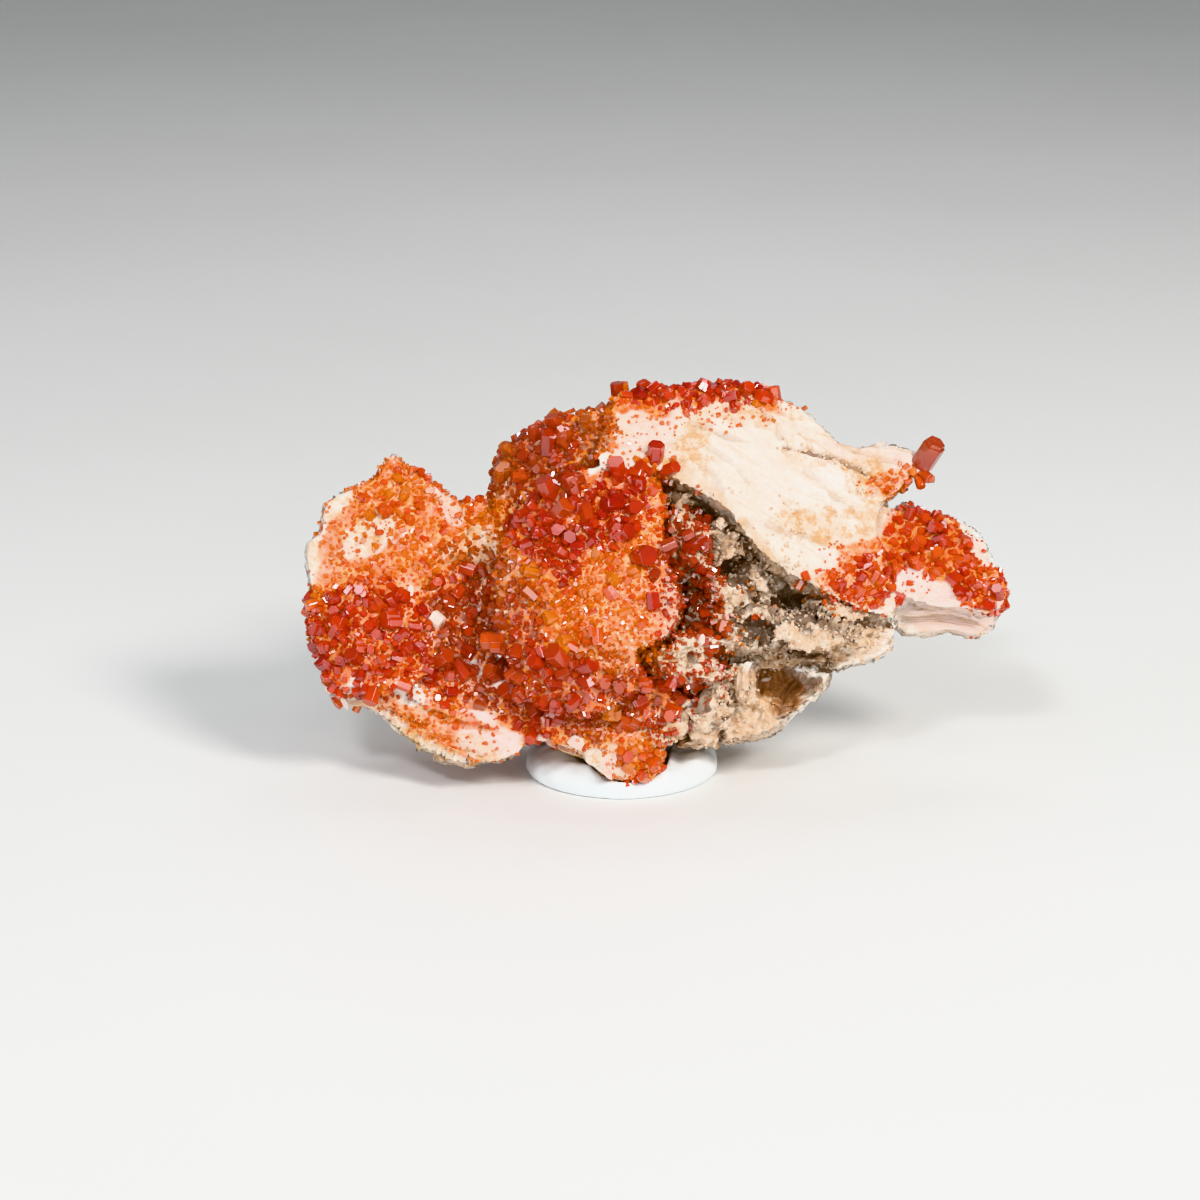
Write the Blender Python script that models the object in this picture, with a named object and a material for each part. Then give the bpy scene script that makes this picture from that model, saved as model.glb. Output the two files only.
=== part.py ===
"""Vanadinite crystals on a matrix of barite blades and limonite, pressed into a disc of mounting putty.

Metres, +Z up. The origin is the centre of the putty disc's flat underside, +X runs to the right of the
viewer and +Y away. Outlines are read from a photograph of 1200 x 1200 pixels, in its own pixels, and
seen() turns a pixel and a depth behind the disc's centre into a place in space.
"""

import math
import random

import bmesh
import bpy
from mathutils import Matrix, Vector, noise
from mathutils.bvhtree import BVHTree

MM = 0.001

# Driving sizes.
SPECIMEN_WIDTH = 65 * MM
PAD_RADIUS = 8.8 * MM
PAD_HEIGHT = 2.0 * MM
PAD_EDGE = 0.7 * MM
SUNK_TO = 0.6 * MM
GAP = 0.3 * MM
# The share of the cut solids' triangles that is kept.
KEPT_SHARE = 0.52

# The view of the photograph.
SPECIMEN_WIDTH_PX = 714
PIXEL = SPECIMEN_WIDTH / SPECIMEN_WIDTH_PX
PAD_CENTRE_PX = (621, 767)
AXIS_PX = (600, 600)
VIEW_DISTANCE = 283 * MM
VIEW_PITCH = math.radians(16.8)

# How blades are cut.
OUTLINE_STEP_PX = 26
OUTLINE_CHIP_PX = 4
SHEET_WAVE = 0.35 * MM
WAVE_LENGTH_PX = 48
OUTLINE_MARGIN = 1.6 * MM
FINEST_CELL_PX = 24
COARSEST_CELL_PX = 40

COLOURS = {
    "barite": (0.86, 0.78, 0.68),
    "limonite": (0.50, 0.35, 0.20),
    "vanadinite": (0.70, 0.12, 0.03),
    "putty": (0.88, 0.90, 0.90),
}
ROUGHNESS = {"barite": 0.45, "limonite": 0.9, "vanadinite": 0.2, "putty": 0.7}

# Each slab of barite: its outline in pixels of the photograph, the depth of its face at the outline's
# middle (mm, less is nearer the viewer), the face's lean (mm of depth for each mm to the right and each
# mm up), how far its middle swells (mm), its thickness (mm) and how far its edge splays out (pixels).
LEFT_BLADE = dict(
    outline=[(303, 562), (304, 542), (317, 528), (321, 502), (345, 487), (368, 480), (385, 456), (395, 450),
             (411, 466), (436, 480), (462, 500), (474, 540), (466, 600), (440, 660), (400, 690), (345, 700),
             (322, 688), (316, 650), (303, 612)],
    depth=-7.6, lean=(0.10, 0.02), swell=1.4, thickness=3.6, splay=4)
LEFT_FLANK = dict(
    outline=[(306, 610), (330, 585), (380, 580), (440, 610), (450, 660), (410, 695), (350, 702), (326, 698),
             (318, 660), (306, 632)],
    depth=-9.2, lean=(0.05, 0.10), swell=1.6, thickness=3.5, splay=5)
SADDLE = dict(
    outline=[(430, 520), (455, 505), (490, 497), (530, 520), (560, 600), (562, 700), (534, 742), (474, 724),
             (410, 702), (402, 640), (430, 570)],
    depth=-6.6, lean=(0.0, 0.18), swell=0.6, thickness=5.0, splay=0)
RIDGE = dict(
    outline=[(487, 512), (489, 470), (503, 446), (547, 421), (575, 409), (606, 405), (628, 420), (640, 470),
             (620, 530), (560, 560), (510, 545)],
    depth=-7.6, lean=(-0.35, 0.10), swell=0.8, thickness=6.0, splay=4)
CENTRE = dict(
    outline=[(505, 530), (545, 480), (590, 460), (632, 452), (657, 476), (672, 510), (674, 558), (688, 600),
             (672, 642), (640, 655), (652, 690), (612, 716), (560, 722), (512, 700), (488, 640), (486, 580)],
    depth=-11.6, lean=(-0.14, 0.10), swell=1.8, thickness=8.0, splay=6)
UPPER_PLATE = dict(
    outline=[(598, 474), (590, 452), (602, 420), (614, 392), (650, 384), (702, 382), (752, 390), (790, 412),
             (812, 440), (862, 464), (886, 500), (880, 528), (888, 560), (903, 598), (899, 622), (868, 616),
             (828, 599), (794, 583), (764, 563), (744, 540), (724, 514), (699, 497), (668, 480), (640, 468)],
    depth=-10.0, lean=(0.22, 0.44), swell=1.2, thickness=3.4, splay=4)
UPPER_LEDGE = dict(
    outline=[(715, 384), (762, 389), (800, 403), (822, 421), (842, 441), (882, 440), (908, 446), (928, 456),
             (912, 484), (888, 504), (868, 508), (820, 490), (770, 462), (725, 430)],
    depth=-6.4, lean=(0.20, 0.42), swell=0.6, thickness=3.2, splay=4)
RIGHT_ARM = dict(
    outline=[(832, 560), (852, 534), (884, 512), (905, 500), (926, 514), (946, 510), (963, 520), (985, 533),
             (993, 551), (1004, 572), (1012, 592), (1004, 612), (985, 622), (940, 612), (905, 604), (860, 600)],
    depth=-7.2, lean=(0.02, 0.50), swell=0.8, thickness=3.4, splay=4)
ARM_UNDERSIDE = dict(
    outline=[(868, 585), (905, 575), (960, 570), (998, 585), (1005, 606), (997, 630), (980, 643), (950, 636),
             (904, 638), (880, 622)],
    depth=-6.2, lean=(0.05, -0.15), swell=0.5, thickness=3.6, splay=3)
PLATE_UNDERSHEET = dict(
    outline=[(668, 488), (700, 504), (724, 522), (744, 550), (766, 572), (797, 592), (830, 607), (868, 623),
             (900, 628), (892, 560), (820, 520), (740, 470)],
    depth=-8.5, lean=(0.22, 0.44), swell=0.3, thickness=1.5, splay=2)
LOWER_LEFT_RIM = dict(
    outline=[(334, 690), (400, 690), (470, 706), (532, 740), (521, 757), (500, 765), (469, 768), (440, 763),
             (415, 753), (399, 742), (384, 729), (362, 713), (340, 707)],
    depth=-8.0, lean=(-0.04, 0.30), swell=-0.3, thickness=2.2, splay=4)
LOWER_LEFT_SHELL = dict(
    outline=[(322, 690), (338, 672), (386, 664), (440, 672), (498, 698), (530, 738), (515, 748), (492, 754),
             (466, 756), (440, 750), (418, 740), (402, 730), (386, 717), (364, 704), (342, 700), (326, 698)],
    depth=-8.6, lean=(-0.04, 0.42), swell=-0.9, thickness=2.6, splay=5)
FOOT = dict(
    outline=[(540, 700), (575, 680), (660, 680), (700, 700), (690, 738), (668, 748), (664, 770), (657, 786),
             (632, 788), (604, 784), (590, 772), (576, 758), (556, 750), (535, 735)],
    depth=-9.4, lean=(0.03, -0.18), swell=0.8, thickness=8.5, splay=3)
RIM_BLADE = dict(
    outline=[(735, 656), (800, 636), (862, 620), (899, 614), (896, 648), (876, 665), (852, 669), (836, 673),
             (800, 672), (762, 674), (738, 672)],
    depth=-9.6, lean=(0.06, 0.10), swell=0.4, thickness=4.0, splay=3)
HOLLOW_SHELL = dict(
    outline=[(726, 674), (770, 668), (838, 668), (831, 686), (816, 701), (800, 716), (786, 730), (770, 739),
             (742, 745), (720, 745), (716, 710)],
    depth=-8.6, lean=(-0.10, -0.10), swell=0.5, thickness=7.2, splay=5)
BACK_LEFT_BLADE = dict(
    outline=[(345, 640), (338, 560), (372, 506), (430, 508), (470, 522), (510, 492), (560, 470), (600, 520),
             (590, 620), (540, 680), (460, 700), (390, 690)],
    depth=-1.6, lean=(0.10, 0.02), swell=-0.8, thickness=3.4, splay=-6)
BACK_RIGHT_BLADE = dict(
    outline=[(560, 470), (610, 420), (700, 408), (790, 430), (850, 480), (880, 550), (850, 620), (770, 650),
             (690, 640), (610, 600), (570, 540)],
    depth=-1.4, lean=(-0.06, 0.16), swell=-1.0, thickness=3.6, splay=-6)
BACK_LOWER_BLADE = dict(
    outline=[(486, 690), (500, 630), (560, 600), (650, 590), (750, 620), (800, 670), (770, 715), (700, 738),
             (600, 742), (530, 738)],
    depth=0.8, lean=(0.05, -0.16), swell=-0.6, thickness=3.6, splay=-5)

# The slabs that have grown into one another make one solid.
BARITE = {
    "barite_blades": [LEFT_BLADE, LEFT_FLANK, SADDLE, RIDGE, CENTRE, UPPER_PLATE, PLATE_UNDERSHEET, UPPER_LEDGE,
                      RIGHT_ARM, ARM_UNDERSIDE, LOWER_LEFT_SHELL, LOWER_LEFT_RIM, FOOT],
    "barite_hollow_shell": [HOLLOW_SHELL],
    "barite_rim_blade": [RIM_BLADE],
    "barite_back_blades": [BACK_LEFT_BLADE, BACK_RIGHT_BLADE, BACK_LOWER_BLADE],
}

# Each lump of limonite: its middle (pixels), its depth (mm) and its radii (mm to the right, away and up).
LIMONITE_LUMPS = [
    dict(middle=(640, 590), depth=-2.5, radii=(16.0, 7.5, 10.5), fineness=3),
    dict(middle=(495, 600), depth=0.5, radii=(12.0, 5.0, 8.5)),
    dict(middle=(712, 560), depth=-5.5, radii=(5.5, 5.0, 8.0), fineness=3),
    dict(middle=(798, 630), depth=-6.2, radii=(8.6, 4.9, 3.4)),
    dict(middle=(692, 690), depth=-4.0, radii=(6.6, 6.4, 5.0)),
]
LIMONITE_PITS = [
    dict(middle=(704, 512), depth=-9.8, radii=(1.8, 3.0, 1.6)),
    dict(middle=(738, 572), depth=-9.6, radii=(2.2, 3.2, 1.4)),
    dict(middle=(790, 602), depth=-10.2, radii=(2.4, 3.4, 1.5)),
    dict(middle=(752, 632), depth=-10.0, radii=(1.5, 2.6, 1.3)),
    dict(middle=(690, 600), depth=-9.8, radii=(1.6, 3.0, 3.4)),
]
LUMP_ROUGHNESS = 0.22
LUMP_GRAIN = 3.2 * MM

HOLLOW = dict(middle=(786, 689), depth=-9.2, radii=(3.2, 5.6, 1.7))

# Each crust of vanadinite: the outline that its base of small crystals fills (pixels), how deep this
# base reaches (mm), and the patches of its large crystals. A patch has its middle and half sizes
# (pixels), its turn (degrees), the number of its crystals and their radii (mm, least and most).
CRUST_THICKNESS = 0.9 * MM
CRUST_FRONT = -24 * MM
CRUSTS = {
    "vanadinite_main_crust": dict(
        outline=[(306, 606), (320, 582), (360, 572), (410, 566), (440, 545), (462, 566), (488, 560), (508, 520),
                 (492, 500), (494, 470), (508, 448), (548, 424), (578, 411), (604, 409), (610, 430), (602, 466),
                 (630, 462), (653, 486), (666, 514), (669, 558), (682, 602), (668, 638), (640, 652), (652, 680),
                 (716, 690), (722, 712), (700, 734), (650, 736), (600, 730), (560, 712), (524, 700), (490, 690),
                 (440, 668), (390, 666), (350, 686), (326, 694), (320, 660)],
        back=-4.0,
        patches=[
            dict(middle=(364, 628), half=(54, 50), turn=0, crystals=26, radii=(0.7, 1.2)),
            dict(middle=(462, 622), half=(62, 50), turn=20, crystals=16, radii=(0.6, 0.95)),
            dict(middle=(582, 505), half=(68, 44), turn=-15, crystals=24, radii=(0.8, 1.35)),
            dict(middle=(545, 447), half=(58, 26), turn=-30, crystals=12, radii=(0.7, 1.1)),
            dict(middle=(590, 592), half=(76, 46), turn=5, crystals=18, radii=(0.6, 1.0)),
            dict(middle=(545, 672), half=(74, 34), turn=10, crystals=22, radii=(0.8, 1.3)),
            dict(middle=(655, 702), half=(56, 30), turn=-10, crystals=15, radii=(0.7, 1.1)),
        ]),
    "vanadinite_upper_left_crust": dict(
        outline=[(330, 510), (348, 492), (368, 486), (388, 462), (410, 474), (436, 488), (450, 510), (420, 526),
                 (380, 528), (346, 536)],
        back=-4.0,
        patches=[dict(middle=(392, 503), half=(46, 24), turn=-15, crystals=10, radii=(0.5, 0.8))]),
    "vanadinite_top_crust": dict(
        outline=[(612, 393), (650, 385), (702, 381), (756, 390), (782, 404), (760, 414), (700, 404), (650, 408),
                 (616, 416)],
        back=-4.0,
        patches=[dict(middle=(692, 395), half=(78, 12), turn=4, crystals=18, radii=(0.6, 1.0))]),
    "vanadinite_plate_crust": dict(
        outline=[(826, 574), (850, 556), (884, 552), (896, 580), (900, 606), (872, 612), (840, 600)],
        back=-4.0,
        patches=[dict(middle=(862, 582), half=(34, 24), turn=-5, crystals=12, radii=(0.55, 0.9))]),
    "vanadinite_arm_crust": dict(
        outline=[(884, 540), (896, 512), (924, 516), (946, 514), (966, 526), (988, 552), (1004, 590), (990, 612),
                 (950, 602), (912, 580)],
        back=-4.0,
        patches=[dict(middle=(946, 560), half=(54, 26), turn=32, crystals=26, radii=(0.7, 1.1))]),
    "vanadinite_foot_crust": dict(
        outline=[(618, 748), (640, 742), (660, 752), (656, 778), (636, 782), (616, 770)],
        back=-4.0,
        patches=[dict(middle=(638, 762), half=(16, 14), turn=0, crystals=5, radii=(0.6, 0.9))]),
    "vanadinite_pocket_crust": dict(
        outline=[(680, 500), (706, 508), (722, 540), (718, 590), (728, 632), (706, 640), (700, 600), (686, 550)],
        back=2.0,
        patches=[dict(middle=(706, 566), half=(11, 58), turn=-6, crystals=12, radii=(0.5, 0.8))]),
}
# A crystal stands at least this many times the two radii from its neighbour, within this share of the
# patch, and its axis turns from the stone's own outward direction to the viewer and at random.
CRYSTAL_SPACING = 1.0
CRYSTAL_TRIES = 40
PATCH_SHARE = 0.92
TURN_TO_VIEWER = 0.5
TURN_AT_RANDOM = 0.75
CRYSTAL_SLIMNESS = (1.2, 2.0)
CRYSTAL_SUNK = 0.45
TIP_CRYSTAL = dict(middle=(924, 460), depth=-5.4, radius=1.15, length=2.8, lean=(0.42, -0.35, 0.84))


def seen(px, py, depth):
    """The place that the photograph shows at a pixel, at a depth in metres behind the pad's centre."""
    spread = depth / VIEW_DISTANCE
    right = (px - PAD_CENTRE_PX[0]) * PIXEL + (px - AXIS_PX[0]) * PIXEL * spread
    up = (PAD_CENTRE_PX[1] - py) * PIXEL + (AXIS_PX[1] - py) * PIXEL * spread
    sine, cosine = math.sin(VIEW_PITCH), math.cos(VIEW_PITCH)
    return Vector((right, up * sine + depth * cosine, up * cosine - depth * sine))


def new_object(name, mesh):
    obj = bpy.data.objects.new(name, mesh)
    bpy.context.scene.collection.objects.link(obj)
    return obj


def object_from(name, mesh_bmesh):
    """Makes an object of a bmesh, with triangles only and its faces turned outwards."""
    bmesh.ops.triangulate(mesh_bmesh, faces=mesh_bmesh.faces)
    bmesh.ops.recalc_face_normals(mesh_bmesh, faces=mesh_bmesh.faces)
    mesh = bpy.data.meshes.new(name)
    mesh_bmesh.to_mesh(mesh)
    mesh_bmesh.free()
    return new_object(name, mesh)


def evaluated(obj, name):
    """A plain copy of the object with its modifiers applied. The object itself is removed."""
    graph = bpy.context.evaluated_depsgraph_get()
    mesh = bpy.data.meshes.new_from_object(obj.evaluated_get(graph))
    mesh.transform(obj.matrix_world)
    made = new_object(name, mesh)
    bpy.data.objects.remove(obj)
    return made


def largest_body(obj):
    """Drops the crumbs that a cut leaves, and keeps the body with the most faces."""
    shape = bmesh.new()
    shape.from_mesh(obj.data)
    unseen, bodies = set(shape.faces), []
    while unseen:
        front, body = [unseen.pop()], []
        while front:
            face = front.pop()
            body.append(face)
            for edge in face.edges:
                if len(edge.link_faces) != 2:
                    continue
                for other in edge.link_faces:
                    if other in unseen:
                        unseen.remove(other)
                        front.append(other)
        bodies.append(body)
    bodies.sort(key=len)
    bmesh.ops.delete(shape, geom=[face for body in bodies[:-1] for face in body], context="FACES")
    shape.to_mesh(obj.data)
    shape.free()
    return obj


def combined(name, first, operation, others, keep_others=False):
    """first with the others joined to it or cut from it, as one new object."""
    group = bpy.data.collections.new("operands")
    bpy.context.scene.collection.children.link(group)
    for other in others:
        group.objects.link(other)
    modifier = first.modifiers.new(operation.title(), "BOOLEAN")
    modifier.operation = operation
    modifier.operand_type = "COLLECTION"
    modifier.collection = group
    made = evaluated(first, name)
    bpy.data.collections.remove(group)
    if not keep_others:
        for other in others:
            bpy.data.objects.remove(other)
    return largest_body(made)


def simplified(obj, name):
    """The solid in triangles, with the slivers that the cuts left collapsed."""
    obj.modifiers.new("Triangles", "TRIANGULATE")
    modifier = obj.modifiers.new("Collapse", "DECIMATE")
    modifier.ratio = KEPT_SHARE
    modifier.use_collapse_triangulate = True
    return evaluated(obj, name)


def middle_of(outline):
    """The middle and the half sizes of an outline's box, in pixels."""
    columns, rows = [x for x, _ in outline], [y for _, y in outline]
    return (
        ((min(columns) + max(columns)) / 2, (min(rows) + max(rows)) / 2),
        ((max(columns) - min(columns)) / 2, (max(rows) - min(rows)) / 2),
    )


def face_depth(slab, px, py):
    """The depth of a slab's face at a pixel, in metres."""
    (cx, cy), (hx, hy) = middle_of(slab["outline"])
    off = ((px - cx) / hx) ** 2 + ((py - cy) / hy) ** 2
    leaned = slab["lean"][0] * (px - cx) * PIXEL + slab["lean"][1] * (cy - py) * PIXEL
    wave = noise.noise(Vector((px, py, 7 * cx)) / WAVE_LENGTH_PX) * SHEET_WAVE
    return slab["depth"] * MM + leaned - slab["swell"] * MM * (1 - min(off, 1.5)) + wave


def chipped(outline, seed):
    """The outline with more points, moved in and out a little, as a broken edge has."""
    chance = random.Random(seed)
    points = []
    for (x0, y0), (x1, y1) in zip(outline, outline[1:] + outline[:1]):
        pieces = max(1, round(math.hypot(x1 - x0, y1 - y0) / OUTLINE_STEP_PX))
        for i in range(pieces):
            share = i / pieces
            chip = OUTLINE_CHIP_PX if i else OUTLINE_CHIP_PX / 3
            points.append((
                x0 + (x1 - x0) * share + chance.uniform(-chip, chip),
                y0 + (y1 - y0) * share + chance.uniform(-chip, chip),
            ))
    return points


def outward(points):
    """The outward direction at each point of a closed outline in pixels."""
    area = sum(x0 * y1 - x1 * y0 for (x0, y0), (x1, y1) in zip(points, points[1:] + points[:1]))
    side = 1 if area > 0 else -1
    found = []
    for i in range(len(points)):
        (x0, y0), (x1, y1) = points[i - 1], points[(i + 1) % len(points)]
        length = math.hypot(x1 - x0, y1 - y0)
        found.append((side * (y1 - y0) / length, -side * (x1 - x0) / length))
    return found


def column(points, place):
    """The closed column between two copies of an outline. place(i, behind) gives the place of each corner."""
    curve = bpy.data.curves.new("outline", "CURVE")
    curve.dimensions = "2D"
    curve.fill_mode = "BOTH"
    curve.extrude = 1
    spline = curve.splines.new("POLY")
    spline.points.add(len(points) - 1)
    spline.use_cyclic_u = True
    for point, (x, y) in zip(spline.points, points):
        point.co = (x, -y, 0, 1)
    filled = evaluated(new_object("outline", curve), "outline")
    shape = bmesh.new()
    shape.from_mesh(filled.data)
    bpy.data.objects.remove(filled)
    bmesh.ops.remove_doubles(shape, verts=shape.verts, dist=0.01)
    for vert in shape.verts:
        i = min(range(len(points)), key=lambda k: math.hypot(points[k][0] - vert.co.x, points[k][1] + vert.co.y))
        vert.co = place(i, vert.co.z < 0)
    return object_from("outline", shape)


def outline_column(slab, grow):
    """The column that a slab's outline sweeps along the view, wider at its back by the slab's splay."""
    points = chipped(slab["outline"], slab["outline"][0][0])
    directions = outward(points)
    thickness = slab["thickness"] * MM
    margin = OUTLINE_MARGIN + grow

    def place(i, behind):
        share = 1 + margin / thickness if behind else -margin / thickness
        push = (share - 1) * slab["splay"] + grow / PIXEL
        px, py = points[i][0] + directions[i][0] * push, points[i][1] + directions[i][1] * push
        return seen(px, py, face_depth(slab, *points[i]) + (thickness + margin if behind else -margin))

    return column(points, place)


def sheet_block(slab, grow, cell):
    """A closed sheet, larger than the outline, between the slab's face and its back."""
    (cx, cy), (hx, hy) = middle_of(slab["outline"])
    hx, hy = hx + 2 * cell / 3, hy + 2 * cell / 3
    shape = bmesh.new()
    bmesh.ops.create_grid(shape, x_segments=round(2 * hx / cell), y_segments=round(2 * hy / cell), size=1)
    bmesh.ops.solidify(shape, geom=shape.faces[:], thickness=1)
    low = min(vert.co.z for vert in shape.verts)
    high = max(vert.co.z for vert in shape.verts)
    for vert in shape.verts:
        px, py = cx + vert.co.x * hx, cy + vert.co.y * hy
        behind = vert.co.z < (low + high) / 2
        back_wave = noise.noise(Vector((px, py, 3 * cy)) / WAVE_LENGTH_PX) * SHEET_WAVE
        depth = face_depth(slab, px, py)
        vert.co = seen(px, py, depth + slab["thickness"] * MM + back_wave + grow if behind else depth - grow)
    return object_from("sheet", shape)


def slab_solid(name, slab, grow=0.0):
    cell = min(COARSEST_CELL_PX, max(FINEST_CELL_PX, min(middle_of(slab["outline"])[1])))
    return combined(name, sheet_block(slab, grow, cell), "INTERSECT", [outline_column(slab, grow)])


def barite_solid(name, slabs, grow=0.0):
    first, *others = [slab_solid(name, slab, grow) for slab in slabs]
    return combined(name, first, "UNION", others) if others else first


def lump(shape_of, grow=0.0):
    """A rough ellipsoid."""
    shape = bmesh.new()
    bmesh.ops.create_icosphere(shape, subdivisions=shape_of.get("fineness", 2), radius=1)
    centre = seen(*shape_of["middle"], shape_of["depth"] * MM)
    radii = Vector(shape_of["radii"]) * MM
    for vert in shape.verts:
        direction = vert.co.normalized()
        point = Vector(a * b for a, b in zip(direction, radii))
        rough = 1 + LUMP_ROUGHNESS * noise.noise((centre + point) / LUMP_GRAIN)
        vert.co = centre + point * rough + direction * grow
    return object_from("lump", shape)


def floor_cut(height):
    """A block whose top is at a height, for cutting off what reaches below it."""
    size = 80 * MM
    shape = bmesh.new()
    bmesh.ops.create_cube(shape, size=size, matrix=Matrix.Translation((0, 0, height - size / 2)))
    return object_from("floor", shape)


def above_floor(obj, height):
    return combined("cutter", obj, "DIFFERENCE", [floor_cut(height)])


def putty_disc(radius, height):
    """A turned disc with a rounded rim."""
    shape = bmesh.new()
    segments = 40
    bmesh.ops.create_cone(shape, cap_ends=True, segments=segments, radius1=radius, radius2=radius, depth=height,
                          matrix=Matrix.Translation((0, 0, height / 2)))
    rim = [edge for edge in shape.edges if all(abs(v.co.z - height) < 1e-6 for v in edge.verts)]
    bmesh.ops.bevel(shape, geom=rim, offset=PAD_EDGE, segments=2, affect="EDGES")
    return object_from("disc", shape)


class View:
    """What a line of sight meets first."""

    def __init__(self, objects):
        shape = bmesh.new()
        for obj in objects:
            shape.from_mesh(obj.data)
        self.tree = BVHTree.FromBMesh(shape)
        shape.free()

    def hit(self, px, py):
        """(place, outward normal, direction of sight), or None where nothing is met."""
        eye = seen(px, py, -VIEW_DISTANCE)
        direction = (seen(px, py, 0) - eye).normalized()
        place, normal, _, _ = self.tree.ray_cast(eye, direction)
        return None if place is None else (place, normal, direction)


def patch_pixel(patch, radius, angle):
    """The pixel at a share of the patch's half sizes and an angle round its middle."""
    x, y = patch["half"][0] * radius * math.cos(angle), patch["half"][1] * radius * math.sin(angle)
    turn = math.radians(patch["turn"])
    return (
        patch["middle"][0] + x * math.cos(turn) - y * math.sin(turn),
        patch["middle"][1] + x * math.sin(turn) + y * math.cos(turn),
    )


def hexagonal_prism(place, axis, spin, radius, length):
    """A six-sided crystal, whose foot is sunk below the place that it grows from."""
    turn = axis.to_track_quat("Z", "Y").to_matrix().to_4x4()
    middle = place + axis * (length / 2 - CRYSTAL_SUNK * radius)
    matrix = Matrix.Translation(middle) @ turn @ Matrix.Rotation(spin, 4, "Z")
    shape = bmesh.new()
    bmesh.ops.create_cone(shape, cap_ends=True, segments=6, radius1=radius, radius2=radius, depth=length,
                          matrix=matrix)
    return object_from("crystal", shape)


def crystal_places(patch, view):
    """Yields (place, axis, spin, radius, length) for the large crystals of a patch."""
    chance = random.Random(patch["middle"][0] * 1000 + patch["middle"][1])
    taken = []
    tries = 0
    while len(taken) < patch["crystals"] and tries < CRYSTAL_TRIES * patch["crystals"]:
        tries += 1
        radius = chance.uniform(*patch["radii"]) * MM
        share, angle = math.sqrt(chance.random()) * PATCH_SHARE, chance.uniform(0, 2 * math.pi)
        lean = Vector(chance.uniform(-1, 1) for _ in range(3))
        spin, slimness = chance.uniform(0, math.pi / 3), chance.uniform(*CRYSTAL_SLIMNESS)
        hit = view.hit(*patch_pixel(patch, share, angle))
        if hit is None:
            continue
        place, normal, direction = hit
        if any((place - other).length < CRYSTAL_SPACING * (radius + r) for other, r in taken):
            continue
        taken.append((place, radius))
        axis = (normal - TURN_TO_VIEWER * direction + TURN_AT_RANDOM * lean).normalized()
        yield place, axis, spin, radius, slimness * radius


def vanadinite_crust(name, crust, skin, view, cutters):
    """The base of small crystals over the stone inside the crust's outline, and the large crystals on it."""
    points = chipped(crust["outline"], crust["outline"][0][0])
    inside = column(points, lambda i, behind: seen(*points[i], crust["back"] * MM if behind else CRUST_FRONT))
    base = combined(name, inside, "INTERSECT", [skin], keep_others=True)
    crystals = [hexagonal_prism(*crystal) for patch in crust["patches"] for crystal in crystal_places(patch, view)]
    joined = combined(name, base, "UNION", crystals)
    return combined(name, joined, "DIFFERENCE", cutters, keep_others=True)


def material(name):
    made = bpy.data.materials.new(name)
    made.use_nodes = True
    shader = made.node_tree.nodes["Principled BSDF"]
    shader.inputs["Base Color"].default_value = (*COLOURS[name], 1)
    shader.inputs["Roughness"].default_value = ROUGHNESS[name]
    shader.inputs["Metallic"].default_value = 0
    return made


def finish(obj, material_made, collection):
    bpy.context.scene.collection.objects.unlink(obj)
    collection.objects.link(obj)
    obj.data.materials.clear()
    obj.data.materials.append(material_made)


def main():
    for obj in list(bpy.data.objects):
        bpy.data.objects.remove(obj)
    specimen = bpy.data.collections.new("vanadinite_on_matrix")
    bpy.context.scene.collection.children.link(specimen)
    materials = {name: material(name) for name in COLOURS}
    solids = {}

    # The barite, and the same slabs a gap larger, which cut what grows round them.
    grown = []
    for name, slabs in BARITE.items():
        cut_by = [floor_cut(SUNK_TO), *([lump(HOLLOW)] if slabs == [HOLLOW_SHELL] else [])]
        solid = combined(name, barite_solid(name, slabs), "DIFFERENCE", cut_by)
        if grown:
            solid = combined(name, solid, "DIFFERENCE", grown, keep_others=True)
        solids[name] = solid
        grown += [above_floor(slab_solid("cutter", slab, GAP), SUNK_TO - GAP) for slab in slabs]

    first, *others = [lump(shape) for shape in LIMONITE_LUMPS]
    limonite = combined("limonite", first, "UNION", others)
    cut_by = [floor_cut(SUNK_TO), *[lump(pit) for pit in LIMONITE_PITS]]
    limonite = combined("limonite", limonite, "DIFFERENCE", cut_by)
    solids["limonite_matrix"] = combined("limonite_matrix", limonite, "DIFFERENCE", grown, keep_others=True)
    grown += [above_floor(lump(shape, GAP), SUNK_TO - GAP) for shape in LIMONITE_LUMPS]

    disc = putty_disc(PAD_RADIUS, PAD_HEIGHT)
    solids["mounting_putty"] = combined("mounting_putty", disc, "DIFFERENCE", grown, keep_others=True)

    view = View(solids.values())
    cutters = [*grown, putty_disc(PAD_RADIUS + GAP, PAD_HEIGHT + GAP)]
    slabs = [slab for group in BARITE.values() for slab in group]
    first, *others = [slab_solid("skin", slab, CRUST_THICKNESS) for slab in slabs]
    others += [lump(shape, CRUST_THICKNESS) for shape in LIMONITE_LUMPS]
    skin = combined("skin", first, "UNION", others)
    for name, crust in CRUSTS.items():
        solids[name] = vanadinite_crust(name, crust, skin, view, cutters)
    bpy.data.objects.remove(skin)
    tip = hexagonal_prism(
        seen(*TIP_CRYSTAL["middle"], TIP_CRYSTAL["depth"] * MM), Vector(TIP_CRYSTAL["lean"]).normalized(), 0.2,
        TIP_CRYSTAL["radius"] * MM, TIP_CRYSTAL["length"] * MM)
    solids["vanadinite_tip_crystal"] = combined("vanadinite_tip_crystal", tip, "DIFFERENCE", cutters,
                                                keep_others=True)

    for cutter in cutters:
        bpy.data.objects.remove(cutter)
    for name, cut in solids.items():
        solid = simplified(cut, name)
        solid.name = solid.data.name = name
        kind = next(k for k in ("barite", "limonite", "vanadinite", "putty") if k in name)
        finish(solid, materials[kind], specimen)


main()
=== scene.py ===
import math
import random

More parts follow.
